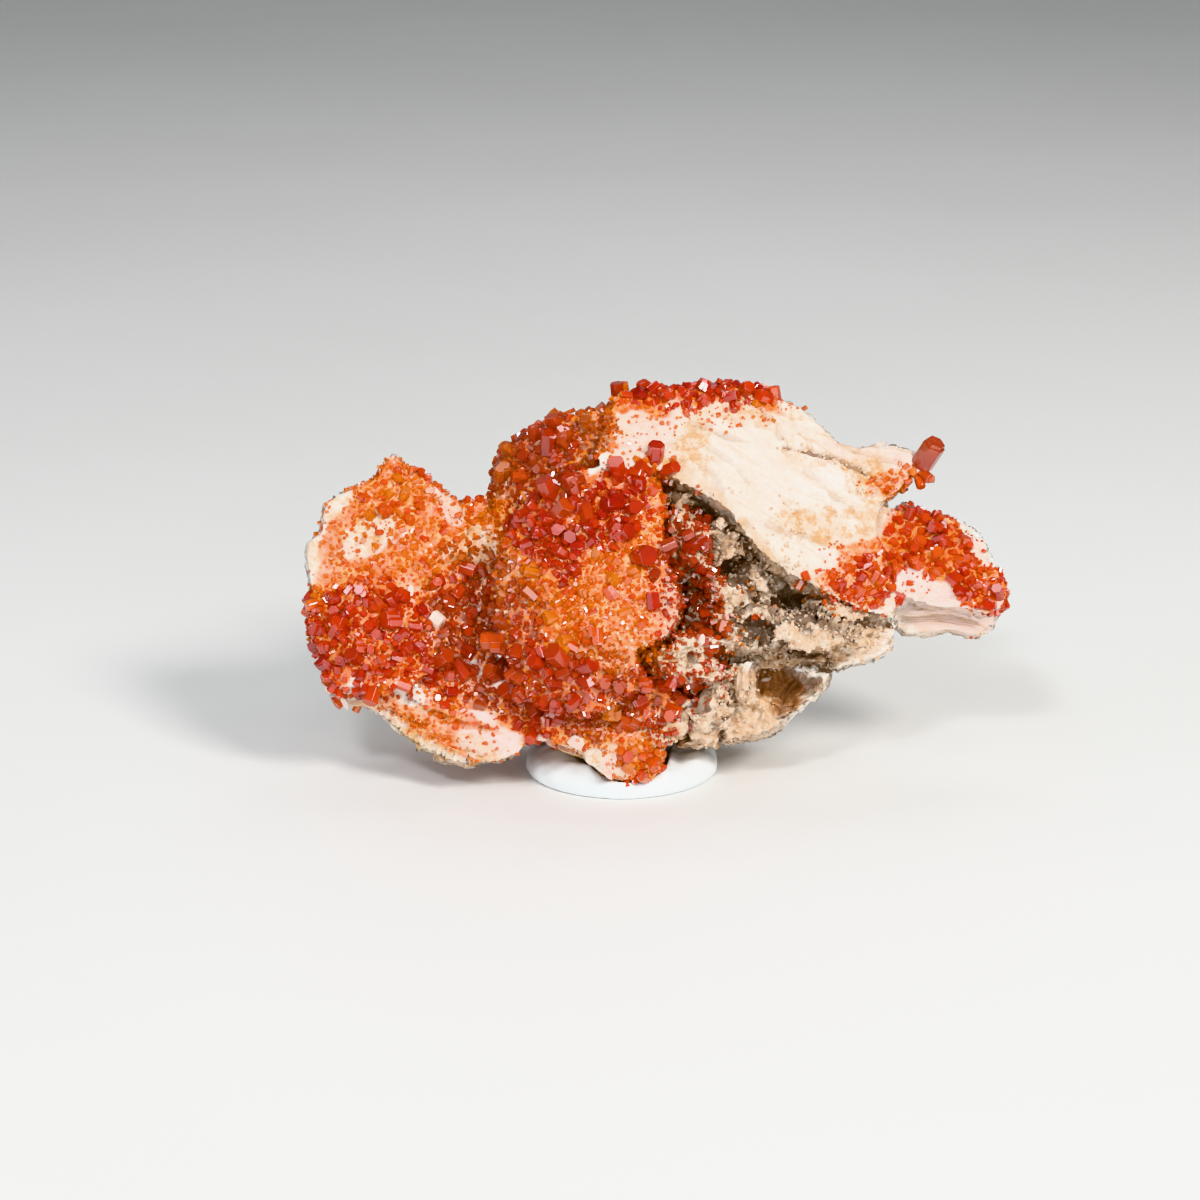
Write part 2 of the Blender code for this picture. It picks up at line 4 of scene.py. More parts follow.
import bpy
import numpy as np
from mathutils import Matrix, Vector
from mathutils.bvhtree import BVHTree


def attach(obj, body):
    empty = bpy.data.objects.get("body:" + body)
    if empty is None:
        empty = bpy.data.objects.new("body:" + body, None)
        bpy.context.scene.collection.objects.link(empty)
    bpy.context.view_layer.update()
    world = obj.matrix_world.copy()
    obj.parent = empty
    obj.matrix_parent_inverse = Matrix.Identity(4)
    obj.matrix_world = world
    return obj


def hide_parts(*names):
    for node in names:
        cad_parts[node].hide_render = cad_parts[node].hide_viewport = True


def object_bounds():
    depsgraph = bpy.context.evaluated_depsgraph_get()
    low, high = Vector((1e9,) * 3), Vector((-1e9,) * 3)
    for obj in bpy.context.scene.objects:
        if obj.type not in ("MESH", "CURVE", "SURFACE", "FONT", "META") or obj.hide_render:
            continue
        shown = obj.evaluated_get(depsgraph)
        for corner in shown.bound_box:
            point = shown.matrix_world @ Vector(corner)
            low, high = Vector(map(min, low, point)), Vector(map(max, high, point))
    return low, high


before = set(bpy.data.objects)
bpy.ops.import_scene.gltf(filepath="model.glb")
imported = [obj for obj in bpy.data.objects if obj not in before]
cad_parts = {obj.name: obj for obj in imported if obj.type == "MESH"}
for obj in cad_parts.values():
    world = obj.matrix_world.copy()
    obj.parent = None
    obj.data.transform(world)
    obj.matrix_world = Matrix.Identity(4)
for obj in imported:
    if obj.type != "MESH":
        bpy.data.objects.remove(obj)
cad_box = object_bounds()

MM = 0.001
CAD_LOW, CAD_HIGH = (np.array(corner) for corner in cad_box)

# The photograph's camera: pixels of a 1200 x 1200 image, and the distance to the putty disc's centre.
PIXEL = 65 * MM / 714
PAD_CENTRE_PX = (621, 767)
AXIS_PX = (600, 600)
IMAGE_PX = 1200
VIEW_DISTANCE = 283 * MM
VIEW_PITCH = math.radians(16.8)
SENSOR_MM = 36

RIGHT = np.array((1.0, 0.0, 0.0))
UP = np.array((0.0, math.sin(VIEW_PITCH), math.cos(VIEW_PITCH)))
AHEAD = np.array((0.0, math.cos(VIEW_PITCH), -math.sin(VIEW_PITCH)))
FOCAL_PX = VIEW_DISTANCE / PIXEL
EYE = (
    RIGHT * (AXIS_PX[0] - PAD_CENTRE_PX[0]) * PIXEL
    + UP * (PAD_CENTRE_PX[1] - AXIS_PX[1]) * PIXEL
    - AHEAD * VIEW_DISTANCE
)


def pixels_of(points):
    """The photograph's pixel at which each point is seen."""
    off = points - EYE
    far = off @ AHEAD
    return AXIS_PX[0] + off @ RIGHT / far * FOCAL_PX, AXIS_PX[1] - off @ UP / far * FOCAL_PX


def sight(px, py):
    """The direction from the eye through a pixel."""
    way = AHEAD * FOCAL_PX + RIGHT * (px - AXIS_PX[0]) - UP * (py - AXIS_PX[1])
    return way / np.linalg.norm(way)


# Smooth noise and cells for whole arrays of points

# Large odd numbers that spread a cell's place over the whole of a hash.
HASH_X, HASH_Y, HASH_Z, HASH_SEED, HASH_LAST = 374761393, 668265263, 1440662683, 1274126177, 2246822519
HASH_BITS = 0xFFFFFFFF
MOST_HASH, HALF_HASH = 0xFFFFFF, 0x7FFFFF


def hashed(ix, iy, iz, seed):
    h = (ix * HASH_X + iy * HASH_Y + iz * HASH_Z + seed * HASH_SEED) & HASH_BITS
    h = ((h ^ (h >> 13)) * HASH_SEED) & HASH_BITS
    h = ((h ^ (h >> 15)) * HASH_LAST) & HASH_BITS
    return (h ^ (h >> 16)) & MOST_HASH


def noise_at(points, size, seed):
    """Smooth noise between -1 and 1 with features of about the size."""
    q = points / size
    low = np.floor(q).astype(np.int64)
    f = q - low
    u = f * f * (3 - 2 * f)
    total = np.zeros(len(points))
    for corner in range(8):
        cx, cy, cz = corner & 1, corner >> 1 & 1, corner >> 2 & 1
        value = hashed(low[:, 0] + cx, low[:, 1] + cy, low[:, 2] + cz, seed) / HALF_HASH - 1
        weight = (
            (u[:, 0] if cx else 1 - u[:, 0])
            * (u[:, 1] if cy else 1 - u[:, 1])
            * (u[:, 2] if cz else 1 - u[:, 2])
        )
        total += value * weight
    return total


def fractal_at(points, size, octaves, seed):
    """Noise with finer and weaker noise added, each octave of half the size and height."""
    total = np.zeros(len(points))
    for octave in range(octaves):
        total += noise_at(points, size / 2**octave, seed + octave) * 0.5**octave
    return total


def cells_at(points, size, seed):
    """How many cells off the nearest and the second nearest cell point are, and the cell's own number."""
    q = points / size
    low = np.floor(q).astype(np.int64)
    first = np.full(len(points), 9.0)
    second = np.full(len(points), 9.0)
    number = np.zeros(len(points))
    for dx in (-1, 0, 1):
        for dy in (-1, 0, 1):
            for dz in (-1, 0, 1):
                cell = (low[:, 0] + dx, low[:, 1] + dy, low[:, 2] + dz)
                jitter = np.stack([hashed(*cell, seed + k) / MOST_HASH for k in range(3)], axis=1)
                apart = np.linalg.norm(np.stack(cell, axis=1) + jitter - q, axis=1)
                nearer = apart < first
                second = np.where(nearer, first, np.minimum(second, apart))
                number = np.where(nearer, hashed(*cell, seed + 7) / MOST_HASH, number)
                first = np.where(nearer, apart, first)
    return first, second, number


def ramp(value, low, high):
    """0 up to low, 1 from high, and smooth between them."""
    t = np.clip((value - low) / (high - low), 0, 1)
    return t * t * (3 - 2 * t)


def field(points, spots, ragged=0.22, seed=40):
    """How much each point lies in the spots: ellipses (x, y, half width, half height, turn, strength) in
    pixels of the photograph, with ragged borders."""
    px, py = pixels_of(points)
    border = ragged * fractal_at(points, 2.6 * MM, 3, seed)
    total = np.zeros(len(points))
    for x, y, rx, ry, turn, strength in spots:
        c, s = math.cos(math.radians(turn)), math.sin(math.radians(turn))
        dx, dy = px - x, py - y
        off = np.hypot((dx * c + dy * s) / rx, (dy * c - dx * s) / ry) + border
        total = np.maximum(total, strength * ramp(-off, -1.12, -0.88))
    return total


def along(points, line, width, ragged=0.35, seed=45):
    """How much each point lies on a line of pixels, 1 on it and 0 from a width away."""
    px, py = pixels_of(points)
    apart = np.full(len(points), 1e9)
    for (ax, ay), (bx, by) in zip(line, line[1:]):
        dx, dy = bx - ax, by - ay
        share = np.clip(((px - ax) * dx + (py - ay) * dy) / (dx * dx + dy * dy), 0, 1)
        apart = np.minimum(apart, np.hypot(px - ax - share * dx, py - ay - share * dy))
    return ramp(-apart / width + ragged * fractal_at(points, 1.4 * MM, 3, seed), -1.0, -0.45)


# Where the photograph shows what, as ellipses in its pixels: see field().
LARGE_SPOTS = [
    (374, 642, 70, 50, 8, 1.0), (326, 640, 26, 56, 0, 0.9), (476, 688, 44, 20, 15, 1.0),
    (522, 702, 46, 28, 15, 1.0), (561, 662, 24, 26, 0, 0.9), (578, 514, 54, 44, -20, 1.0),
    (548, 446, 26, 20, -20, 0.8), (634, 492, 28, 34, 10, 1.0), (632, 538, 20, 20, 0, 0.9),
    (655, 466, 16, 18, 0, 0.8), (690, 548, 24, 26, 0, 0.8), (710, 638, 14, 22, 0, 0.5),
    (670, 704, 30, 26, -10, 0.45), (628, 694, 24, 20, 0, 0.7), (638, 766, 18, 18, 0, 0.6),
    (682, 394, 52, 16, 0, 0.9), (754, 394, 30, 10, 8, 0.6), (920, 534, 32, 26, 35, 0.8),
    (984, 588, 24, 20, 30, 0.8), (953, 560, 22, 14, 35, 0.8), (862, 584, 40, 24, -8, 0.45),
    (470, 610, 60, 50, 0, 0.2),
]
MEDIUM_SPOTS = [
    (372, 640, 76, 58, 6, 0.9), (472, 508, 22, 16, 0, 0.6), (400, 505, 44, 34, -20, 0.45),
    (358, 540, 36, 12, -25, 0.5), (440, 560, 30, 44, 0, 0.6), (480, 630, 70, 62, 10, 1.0),
    (530, 560, 44, 54, 0, 1.0), (540, 450, 54, 42, -30, 0.8), (584, 512, 66, 52, -15, 0.9),
    (550, 620, 44, 44, 0, 0.6), (625, 600, 46, 50, 0, 0.10), (484, 690, 46, 22, 15, 0.9),
    (560, 690, 76, 46, 8, 1.0), (648, 700, 52, 42, -8, 0.5), (690, 560, 26, 60, -6, 0.6),
    (712, 640, 20, 30, 0, 0.5), (636, 764, 24, 26, 0, 0.8), (690, 397, 86, 20, 2, 0.9),
    (658, 468, 26, 24, 0, 0.9), (920, 536, 36, 32, 35, 0.8), (984, 588, 26, 24, 30, 0.8),
    (955, 562, 26, 18, 35, 0.8), (866, 582, 44, 28, -8, 0.6), (905, 480, 24, 12, -10, 0.4),
    (600, 440, 16, 40, 0, 0.7), (450, 712, 60, 14, 30, 0.3), (652, 505, 14, 20, 0, 0.6),
    (596, 424, 14, 20, 0, 0.5),
]
FINE_SPOTS = [
    (384, 500, 58, 42, -30, 0.65), (346, 556, 36, 50, 0, 0.5), (384, 620, 84, 74, 0, 0.9),
    (440, 560, 40, 60, 0, 0.85), (500, 600, 70, 80, 0, 0.9), (540, 460, 66, 60, -30, 1.0),
    (600, 560, 76, 110, 0, 1.0), (660, 600, 40, 60, 0, 0.8), (590, 690, 116, 56, 0, 0.9),
    (430, 715, 90, 26, 25, 0.55), (640, 764, 36, 30, 0, 0.7), (690, 402, 96, 26, 2, 0.85),
    (474, 510, 24, 22, 0, 0.9), (655, 440, 20, 46, 10, 0.45), (926, 544, 52, 38, 32, 0.7),
    (986, 590, 28, 26, 32, 0.7), (958, 566, 32, 20, 35, 0.7), (864, 574, 54, 38, -8, 0.6),
    (900, 482, 36, 16, -10, 0.45), (694, 570, 30, 70, -6, 0.45), (716, 650, 24, 40, 0, 0.35),
    (725, 398, 60, 18, 8, 0.6), (655, 508, 22, 28, 0, 0.9), (506, 514, 18, 18, 0, 0.6),
    (600, 422, 18, 26, 0, 0.9), (474, 692, 46, 20, 12, 0.9),
]
BARE_SPOTS = [
    (368, 536, 34, 19, -38, 0.9), (337, 500, 24, 13, -38, 0.85), (480, 544, 19, 20, 0, 0.8),
    (490, 746, 38, 14, 15, 0.95), (408, 694, 18, 12, 20, 0.8), (745, 470, 110, 60, 25, 1.0),
    (638, 430, 22, 22, 0, 0.9), (790, 545, 50, 30, 20, 0.8), (610, 765, 22, 22, 0, 0.7),
    (922, 586, 26, 13, 28, 1.0), (982, 538, 15, 34, -32, 1.0), (1004, 614, 12, 14, 0, 0.8),
    (618, 462, 30, 12, -8, 1.0), (896, 600, 14, 16, 0, 0.7), (830, 425, 60, 18, 30, 0.9),
    (960, 620, 50, 14, 10, 1.0), (668, 612, 18, 26, 10, 0.6), (640, 640, 20, 12, 0, 0.5),
    (450, 502, 13, 22, -20, 0.8), (314, 530, 11, 34, 8, 0.7), (408, 590, 14, 16, 0, 0.5),
]
RED_SPOTS = [
    (380, 632, 80, 60, 0, 0.8), (575, 512, 70, 56, -15, 1.0), (470, 640, 70, 60, 0, 0.75),
    (530, 690, 70, 50, 0, 0.8), (690, 392, 70, 24, 0, 1.0), (690, 580, 40, 80, 0, 1.0),
    (950, 555, 80, 44, 30, 0.6), (866, 584, 50, 30, 0, 0.6), (680, 700, 60, 50, 0, 0.85),
    (548, 446, 40, 34, 0, 0.7),
]
# Brown crystals and druse; the two spots on the ridge at the top left, (530, 468) and (586, 430), are painted
# shade.
BROWN_AND_SHADE_SPOTS = [
    (484, 630, 62, 76, 0, 0.9), (700, 560, 46, 100, 0, 0.8), (690, 690, 60, 60, 0, 0.6),
    (600, 690, 90, 44, 0, 0.6), (500, 690, 50, 24, 15, 0.6), (530, 468, 52, 50, 0, 0.9),
    (586, 430, 30, 40, 0, 0.9),
]
OCHRE_SPOTS = [
    (482, 544, 30, 28, 0, 1.0), (508, 508, 24, 18, 0, 1.0), (822, 522, 46, 20, 12, 0.9),
    (866, 480, 30, 24, 30, 1.0), (690, 462, 26, 40, 10, 0.9), (766, 566, 60, 16, 38, 0.8),
    (765, 414, 34, 20, 20, 0.7), (715, 412, 40, 14, 10, 0.5), (800, 585, 60, 18, 25, 0.6),
    (745, 470, 100, 60, 25, 0.22), (440, 745, 90, 22, 22, 0.7), (560, 750, 40, 26, 0, 0.8),
    (700, 735, 90, 18, 0, 0.7), (640, 450, 26, 50, 0, 0.4), (790, 690, 40, 40, 0, 0.2),
    (900, 640, 60, 24, 0, 0.2), (860, 530, 40, 24, 30, 0.7), (850, 462, 60, 22, 22, 0.6),
    (355, 530, 60, 46, -30, 0.7),
]
# Pink barite; the spot on the lower left shell, (492, 724), is painted shade under the overhang.
PINK_AND_SHADE_SPOTS = [
    (492, 724, 68, 36, 15, 1.0), (960, 615, 60, 30, 0, 1.0), (930, 560, 60, 40, 30, 0.7),
    (640, 420, 40, 40, 0, 0.7), (420, 480, 50, 50, 0, 0.5), (660, 600, 40, 60, 0, 0.6),
    (860, 600, 40, 20, 0, 0.4), (870, 450, 60, 20, 10, 0.5),
]
# Barite seen from the edges of its layers.
LAYERED_SPOTS = [
    (958, 622, 62, 26, 8, 1.0), (400, 738, 120, 28, 25, 0.9), (810, 700, 36, 22, -47, 1.0),
    (560, 752, 44, 20, 0, 0.6), (892, 648, 34, 26, -30, 0.6), (860, 425, 60, 14, 25, 0.7),
    (985, 545, 22, 40, -30, 0.5),
]
# The earthy stone: where it stands forward, and its pits.
FORWARD_SPOTS = [
    (806, 634, 88, 34, -12, 1.0), (745, 600, 34, 40, 0, 0.5), (694, 658, 60, 22, 0, 1.0),
    (757, 625, 20, 18, 0, 0.8),
]
PIT_SPOTS = [
    (704, 512, 16, 8, 20, 0.9), (738, 572, 14, 11, 0, 1.0), (790, 602, 34, 12, 20, 1.0),
    (750, 634, 9, 6, 20, 0.8), (716, 548, 10, 12, 0, 0.8), (834, 622, 20, 7, 20, 0.7),
    (726, 660, 10, 12, 0, 0.7),
]
# Earth on the barite, and the painted shade inside, the lip and the foot of the hollow.
EARTH_SPOTS = [(705, 735, 70, 26, 0, 1.0), (690, 490, 22, 16, 30, 0.7), (730, 700, 34, 40, 0, 1.0)]
SHELL_EARTH_SPOTS = [(732, 712, 38, 30, 0, 1.0), (770, 738, 50, 9, -10, 0.4)]
SHELL_SHADE_SPOTS = [(779, 686, 23, 12, 0, 1.0), (784, 704, 13, 17, 10, 1.0)]
LIP_SPOTS = [(760, 678, 34, 9, -4, 1.0)]
HOLLOW_FILL_SPOTS = [(746, 686, 13, 17, 0, 1.0)]
# Small grains of limonite: where they stand, where only in close patches, and where none do.
GRAIN_SPOTS = [
    (822, 522, 44, 17, 12, 0.7), (866, 480, 28, 20, 30, 0.9), (765, 414, 30, 14, 20, 0.4),
    (688, 470, 18, 26, 10, 0.6), (740, 556, 60, 12, 38, 0.6), (800, 592, 50, 12, 25, 0.6),
    (715, 412, 36, 10, 10, 0.2), (482, 544, 24, 22, 0, 0.25), (700, 735, 60, 22, 0, 0.9),
    (790, 640, 110, 60, -12, 0.9), (740, 560, 60, 70, 0, 0.9), (735, 715, 50, 34, 0, 1.0),
    (630, 640, 60, 40, 0, 0.12), (500, 640, 50, 50, 0, 0.12), (400, 745, 70, 14, 25, 0.3),
]
PLATE_SPOTS = [(780, 470, 130, 70, 28, 1.0)]
CLEAN_SPOTS = [(800, 702, 34, 25, -45, 1.0), (784, 694, 20, 20, 0, 1.0)]
# Where the rim lies behind the earthy stone, and a recess that lies deeper than the rest of the front.
RIM_BACK_SPOTS = [(782, 672, 54, 26, -8, 1.0)]
DEEP_SPOTS = [(486, 700, 80, 44, 18, 1.0)]
DEEP = 15 * MM
# Lines of pixels: the plate's earthy edge, the rim's clean edge, and the plate's crack and fine ochre veins.
EDGE_LINE = [(688, 476), (712, 503), (746, 540), (783, 575), (822, 599), (856, 622)]
RIM_LINE = [(832, 676), (850, 670), (876, 664), (894, 648), (908, 612)]
CRACK_LINE = [(786, 447), (812, 452), (838, 458), (858, 468), (876, 480), (888, 494)]
VEIN_LINES = [
    [(692, 440), (706, 447), (722, 455), (736, 468), (748, 482)],
    [(688, 422), (708, 426), (728, 437), (748, 442)],
    [(742, 398), (760, 408), (774, 422), (782, 436)],
    [(742, 545), (762, 562), (790, 580), (812, 592)],
    [(770, 524), (786, 532), (806, 536), (826, 544), (846, 542)],
    [(804, 470), (822, 482), (838, 498), (850, 506)],
    [(846, 448), (864, 452), (884, 460), (900, 462)],
    [(700, 462), (712, 474), (722, 490)],
]


def depth_of(points):
    """How far each point lies behind the specimen's middle, the front's recess brought forward."""
    return points @ AHEAD - DEEP * field(points, DEEP_SPOTS, 0.1, 48)


def vertices_of(mesh):
    found = np.empty(len(mesh.vertices) * 3, np.float32)
    mesh.vertices.foreach_get("co", found)
    return found.reshape(-1, 3).astype(np.float64)


def normals_of(mesh):
    found = np.empty(len(mesh.vertices) * 3, np.float32)
    mesh.vertex_normals.foreach_get("vector", found)
    return found.reshape(-1, 3).astype(np.float64)


def move_vertices(mesh, points):
    points = np.clip(points, CAD_LOW, CAD_HIGH)
    mesh.vertices.foreach_set("co", points.astype(np.float32).ravel())
    mesh.update()


def add_tint(mesh, name, columns):
    """A colour attribute on the vertices, from three arrays."""
    layer = mesh.color_attributes.new(name, "FLOAT_COLOR", "POINT")
    values = np.ones((len(mesh.vertices), 4), np.float32)
    for k, column in enumerate(columns):
        values[:, k] = column
    layer.data.foreach_set("color", values.ravel())


def remeshed(node, name, voxel, smooth):
    """A finer copy of a CAD node, with even faces."""
    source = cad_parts[node]
    mesh = source.data.copy()
    mesh.transform(source.matrix_world)
    obj = bpy.data.objects.new(name, mesh)
    bpy.context.scene.collection.objects.link(obj)
    even = obj.modifiers.new("Even faces", "REMESH")
    even.mode = "VOXEL"
    even.voxel_size = voxel
    soft = obj.modifiers.new("Soften", "SMOOTH")
    soft.factor = 0.5
    soft.iterations = smooth
    graph = bpy.context.evaluated_depsgraph_get()
    made = bpy.data.meshes.new_from_object(obj.evaluated_get(graph))
    obj.modifiers.clear()
    obj.data = made
    made.name = name
    bpy.data.meshes.remove(mesh)
    made.materials.clear()
    return obj


# The direction in which the barite's growth layers are stacked: towards the viewer, leaned back.
LAYERS = -AHEAD + 0.10 * RIGHT + 0.34 * UP
LAYERS /= np.linalg.norm(LAYERS)
# The way the plate's fibres run, down to the right.
FIBRES = math.cos(math.radians(33)) * RIGHT - math.sin(math.radians(33)) * UP
# Across the layers where the barite is seen from their edges: in the hollow shell, and elsewhere.
HOLLOW_LEAVES = 0.73 * RIGHT - 0.68 * UP
EDGE_LEAVES = np.array((0.10, 0.30, 1.0))


def pushed(points, way, amount):
    """The points moved by an amount for each, along one direction or along one for each point."""
    return points + way * amount[:, None]


def crumbs(points, normals, strength):
    """Earthy crumbs of two sizes. Also returns a number of its own for each small crumb."""
    first, _, number = cells_at(points, 1.1 * MM, 33)
    points = pushed(points, normals, ((0.5 - first) * 0.75 + (number - 0.5) * 0.4) * 0.9 * MM * strength)
    first, _, number = cells_at(points, 0.5 * MM, 36)
    return pushed(points, normals, (0.45 - first) * (0.4 + number) * 0.45 * MM * strength), number


def shape_barite(obj, terrace, earth_spots, hollow_shade_spots, rim):
    """Growth layers, broken edges, chips and a sugary grain, and earth on some of it."""
    mesh = obj.data
    points, normals = vertices_of(mesh), normals_of(mesh)
    earth = field(points, earth_spots, 0.4, 62)
    if rim:
        earth = np.maximum(earth, 1 - along(points, RIM_LINE, 15))
    else:
        earth = np.maximum(earth, 0.9 * along(points, EDGE_LINE, 17))
    # Painted shade inside the hollow.
    hollow_shade = field(points, hollow_shade_spots, 0.3, 64)
    crack = along(points, CRACK_LINE, 3.5, 0.5)
    for line in VEIN_LINES:
        crack = np.maximum(crack, 0.5 * along(points, line, 3.2, 0.9))

    # Terraces of growth layers, each broken off at a place of its own.
    height = points @ LAYERS + fractal_at(points, 7 * MM, 3, 3) * 0.5 * MM
    step = terrace * (0.75 + 0.5 * (noise_at(points, 9 * MM, 8) > 0))
    level = height / step
    terraced = (np.floor(level) + ramp(level % 1, 0.34, 0.66)) * step
    facing = np.abs(normals @ LAYERS)
    wall = 1 - ramp(facing, 0.35, 0.8)
    strength = (0.6 + 0.35 * noise_at(points, 5 * MM, 12)) * ramp(facing, 0.35, 0.8)
    points = pushed(points, LAYERS, (terraced - height) * strength)
    sheet = np.floor(height / (0.75 * MM))
    broken = noise_at(points + sheet[:, None] * np.array((3.1, 1.7, 2.3)) * MM * 7, 2.0 * MM, 21)
    points = pushed(points, -normals, (0.5 + 0.5 * broken) * 0.75 * MM * wall)

    # Ledges where the barite is seen from the edges of its layers.
    edge_on = field(points, LAYERED_SPOTS, 0.2, 85)
    leaf = points @ (HOLLOW_LEAVES if hollow_shade_spots else EDGE_LEAVES)
    leaf += noise_at(points, 5 * MM, 23) * 0.8 * MM
    thickness, depth = (0.7, 0.5 * MM) if hollow_shade_spots else (1.1, 1.0 * MM)
    ledge = noise_at(np.stack([leaf / thickness, points[:, 0] / 5, points[:, 1] / 5], axis=1), MM, 24)
    points = pushed(points, -normals, ramp(ledge, -0.3, 0.3) * depth * edge_on)
    fibre = np.stack([points @ FIBRES / 6, points @ np.cross(FIBRES, AHEAD), points @ AHEAD / 3], axis=1)
    fibre = fractal_at(fibre, 1.1 * MM, 2, 27)
    points = pushed(points, normals, fibre * 0.13 * MM * ramp(facing, 0.3, 0.8))

    if rim:
        points = pushed(points, AHEAD, field(points, RIM_BACK_SPOTS, 0.2, 72) * 2.6 * MM)
    if hollow_shade_spots:
        towards = ramp(-(normals @ AHEAD), 0.0, 0.5)
        deeper = field(points, hollow_shade_spots, 0.1, 65) * 1.6 - field(points, HOLLOW_FILL_SPOTS, 0.2, 65) * 2.2
        points = pushed(points, AHEAD, deeper * towards * MM)
        points = pushed(points, UP, field(points, LIP_SPOTS, 0.2, 78) * 1.1 * MM)

    # Chips, grain, crumbs of earth and cracks.
    first, second, number = cells_at(points, 1.7 * MM, 5)
    chips = (number - 0.6) * 0.34 * MM * ramp(second - first, 0.02, 0.14)
    points = pushed(points, normals, chips * (0.3 + 0.7 * wall))
    first, _, number = cells_at(points, 0.6 * MM, 9)
    points = pushed(points, normals, (0.45 - first) * 0.12 * MM * (0.3 + number) * (0.6 + 0.4 * wall))
    points = pushed(points, normals, fractal_at(points, 1.2 * MM, 3, 17) * 0.09 * MM)
    points, _ = crumbs(points, normals, 0.8 * earth)
    points = pushed(points, -normals, crack * 0.5 * MM)
    points[:, 2] = np.maximum(points[:, 2], 0.35 * MM)
    move_vertices(mesh, points)

    bare = field(points, BARE_SPOTS)
    behind = ramp(depth_of(points) + 5 * MM * (normals @ AHEAD), -3 * MM, 3 * MM)
    druse = field(points, FINE_SPOTS, 0.2) * (1 - 0.72 * bare) * (1 - 0.75 * behind) * (1 - 0.7 * earth)
    ochre = field(points, OCHRE_SPOTS, 0.45, 60) + 0.3 * ramp(fractal_at(points, 5 * MM, 3, 70), 0.2, 0.9)
    ochre = np.maximum(ochre, behind * ramp(fractal_at(points, 6 * MM, 3, 77), -0.3, 0.7) * 0.8)
    # Painted shade, deep red-brown, on the druse between close red crystals.
    shade_between_red = field(points, RED_SPOTS, 0.3, 50) * field(points, MEDIUM_SPOTS, 0.3) * (1 - bare)
    brown, layered = field(points, BROWN_AND_SHADE_SPOTS, 0.3, 55), field(points, LAYERED_SPOTS, 0.2, 85)
    add_tint(mesh, "tint", (np.clip(ochre, 0, 1), np.clip(druse, 0, 1), field(points, PINK_AND_SHADE_SPOTS, 0.3, 80)))
    add_tint(mesh, "soil", (earth, hollow_shade, np.clip(crack, 0, 1)))
    add_tint(mesh, "leaf", (leaf / MM, shade_between_red, 0))
    add_tint(mesh, "form", (wall, brown, layered))


def shape_limonite(obj):
    """Earthy crumbs with deep irregular pits."""
    mesh = obj.data
    points, normals = vertices_of(mesh), normals_of(mesh)
    towards = ramp(-(normals @ AHEAD), -0.1, 0.5)
    points = pushed(points, -AHEAD, field(points, FORWARD_SPOTS, 0.15, 66) * towards * 3.3 * MM)
    pits = ramp(fractal_at(points, 2.2 * MM, 3, 31), 0.22, 0.7)
    pits = np.maximum(pits, field(points, PIT_SPOTS, 0.85, 67))
    pits = np.maximum(pits, 0.6 * ramp(fractal_at(points, 1.2 * MM, 2, 35), 0.35, 0.8))
    points = pushed(points, -normals, pits * 1.4 * MM)
    points, number = crumbs(points, normals, 1.0 + 0.5 * pits)
    move_vertices(mesh, points)
    # Where the painted shade of the pits goes, with darker patches at random.
    pits = np.clip(pits + ramp(-fractal_at(points, 4 * MM, 2, 39), 0.3, 1.0) * 0.3, 0, 1)
    rusty = ramp(fractal_at(points, 3.5 * MM, 3, 44), -0.2, 0.6)
    add_tint(mesh, "tint", (pits, rusty, number))


def shape_putty(obj, stone_tree):
    """Pressed putty: a slightly uneven cushion, squeezed up round what stands in it."""
    mesh = obj.data
    points, normals = vertices_of(mesh), normals_of(mesh)
    dents = fractal_at(points, 4 * MM, 3, 90) * 0.16 * MM + fractal_at(points, 0.9 * MM, 2, 95) * 0.03 * MM
    points = pushed(points, normals, dents * ramp(points[:, 2], 0.1 * MM, 0.6 * MM))
    apart = np.array([stone_tree.find_nearest(Vector(point))[3] for point in points])
    points[:, 2] += 0.75 * MM * ramp(-apart, -1.6 * MM, -0.2 * MM) * ramp(normals[:, 2], 0.2, 0.8)
    points[:, 2] = np.maximum(points[:, 2], 0)
    move_vertices(mesh, points)


# Crystals


def prism(angles, profile):
    """A prism of rings: its corners' angles in degrees, and (share of the radius, share of the height)s."""
    circle = [(math.cos(math.radians(a)), math.sin(math.radians(a))) for a in angles]
    count = len(circle)
    points, faces = [], []
    for share, height in profile:
        points += [(x * share, y * share, height) for x, y in circle]
    for r in range(len(profile) - 1):
        for k in range(count):
            a, b = r * count + k, r * count + (k + 1) % count
            faces.append((a, b, b + count, a + count))
    faces.append(tuple(range((len(profile) - 1) * count, len(profile) * count)))
    return np.array(points), faces


# Larger prisms have their six edges cut, this many degrees to each side.
EDGE_CUT = 3.4
CUT_HEXAGON = [a for k in range(6) for a in (k * 60 - EDGE_CUT, k * 60 + EDGE_CUT)]
HEXAGON = [k * 60 for k in range(6)]
SQUARE = [k * 90 for k in range(4)]
TEMPLATES = {
    "flat": prism(CUT_HEXAGON, [(1, 0), (1, 0.955), (0.95, 1)]),
    "hopper": prism(CUT_HEXAGON, [(1, 0), (1, 0.955), (0.95, 1), (0.66, 1), (0.58, 0.95), (0.2, 0.93)]),
    "stepped": prism(CUT_HEXAGON, [(1, 0), (1, 0.84), (0.96, 0.87), (0.84, 0.87), (0.83, 0.97), (0.79, 1)]),
    "small": prism(HEXAGON, [(1, 0), (1, 0.94), (0.93, 1)]),
    "tiny": prism(HEXAGON, [(1, 0), (0.97, 1)]),
    "grain": prism(SQUARE, [(1, 0), (0.97, 1)]),
}


def across(axes):
    """For each axis two directions square to it and to each other."""
    side = np.cross(axes, (0.31, 0.87, 0.38))
    side /= np.linalg.norm(side, axis=1)[:, None]
    return side, np.cross(axes, side)


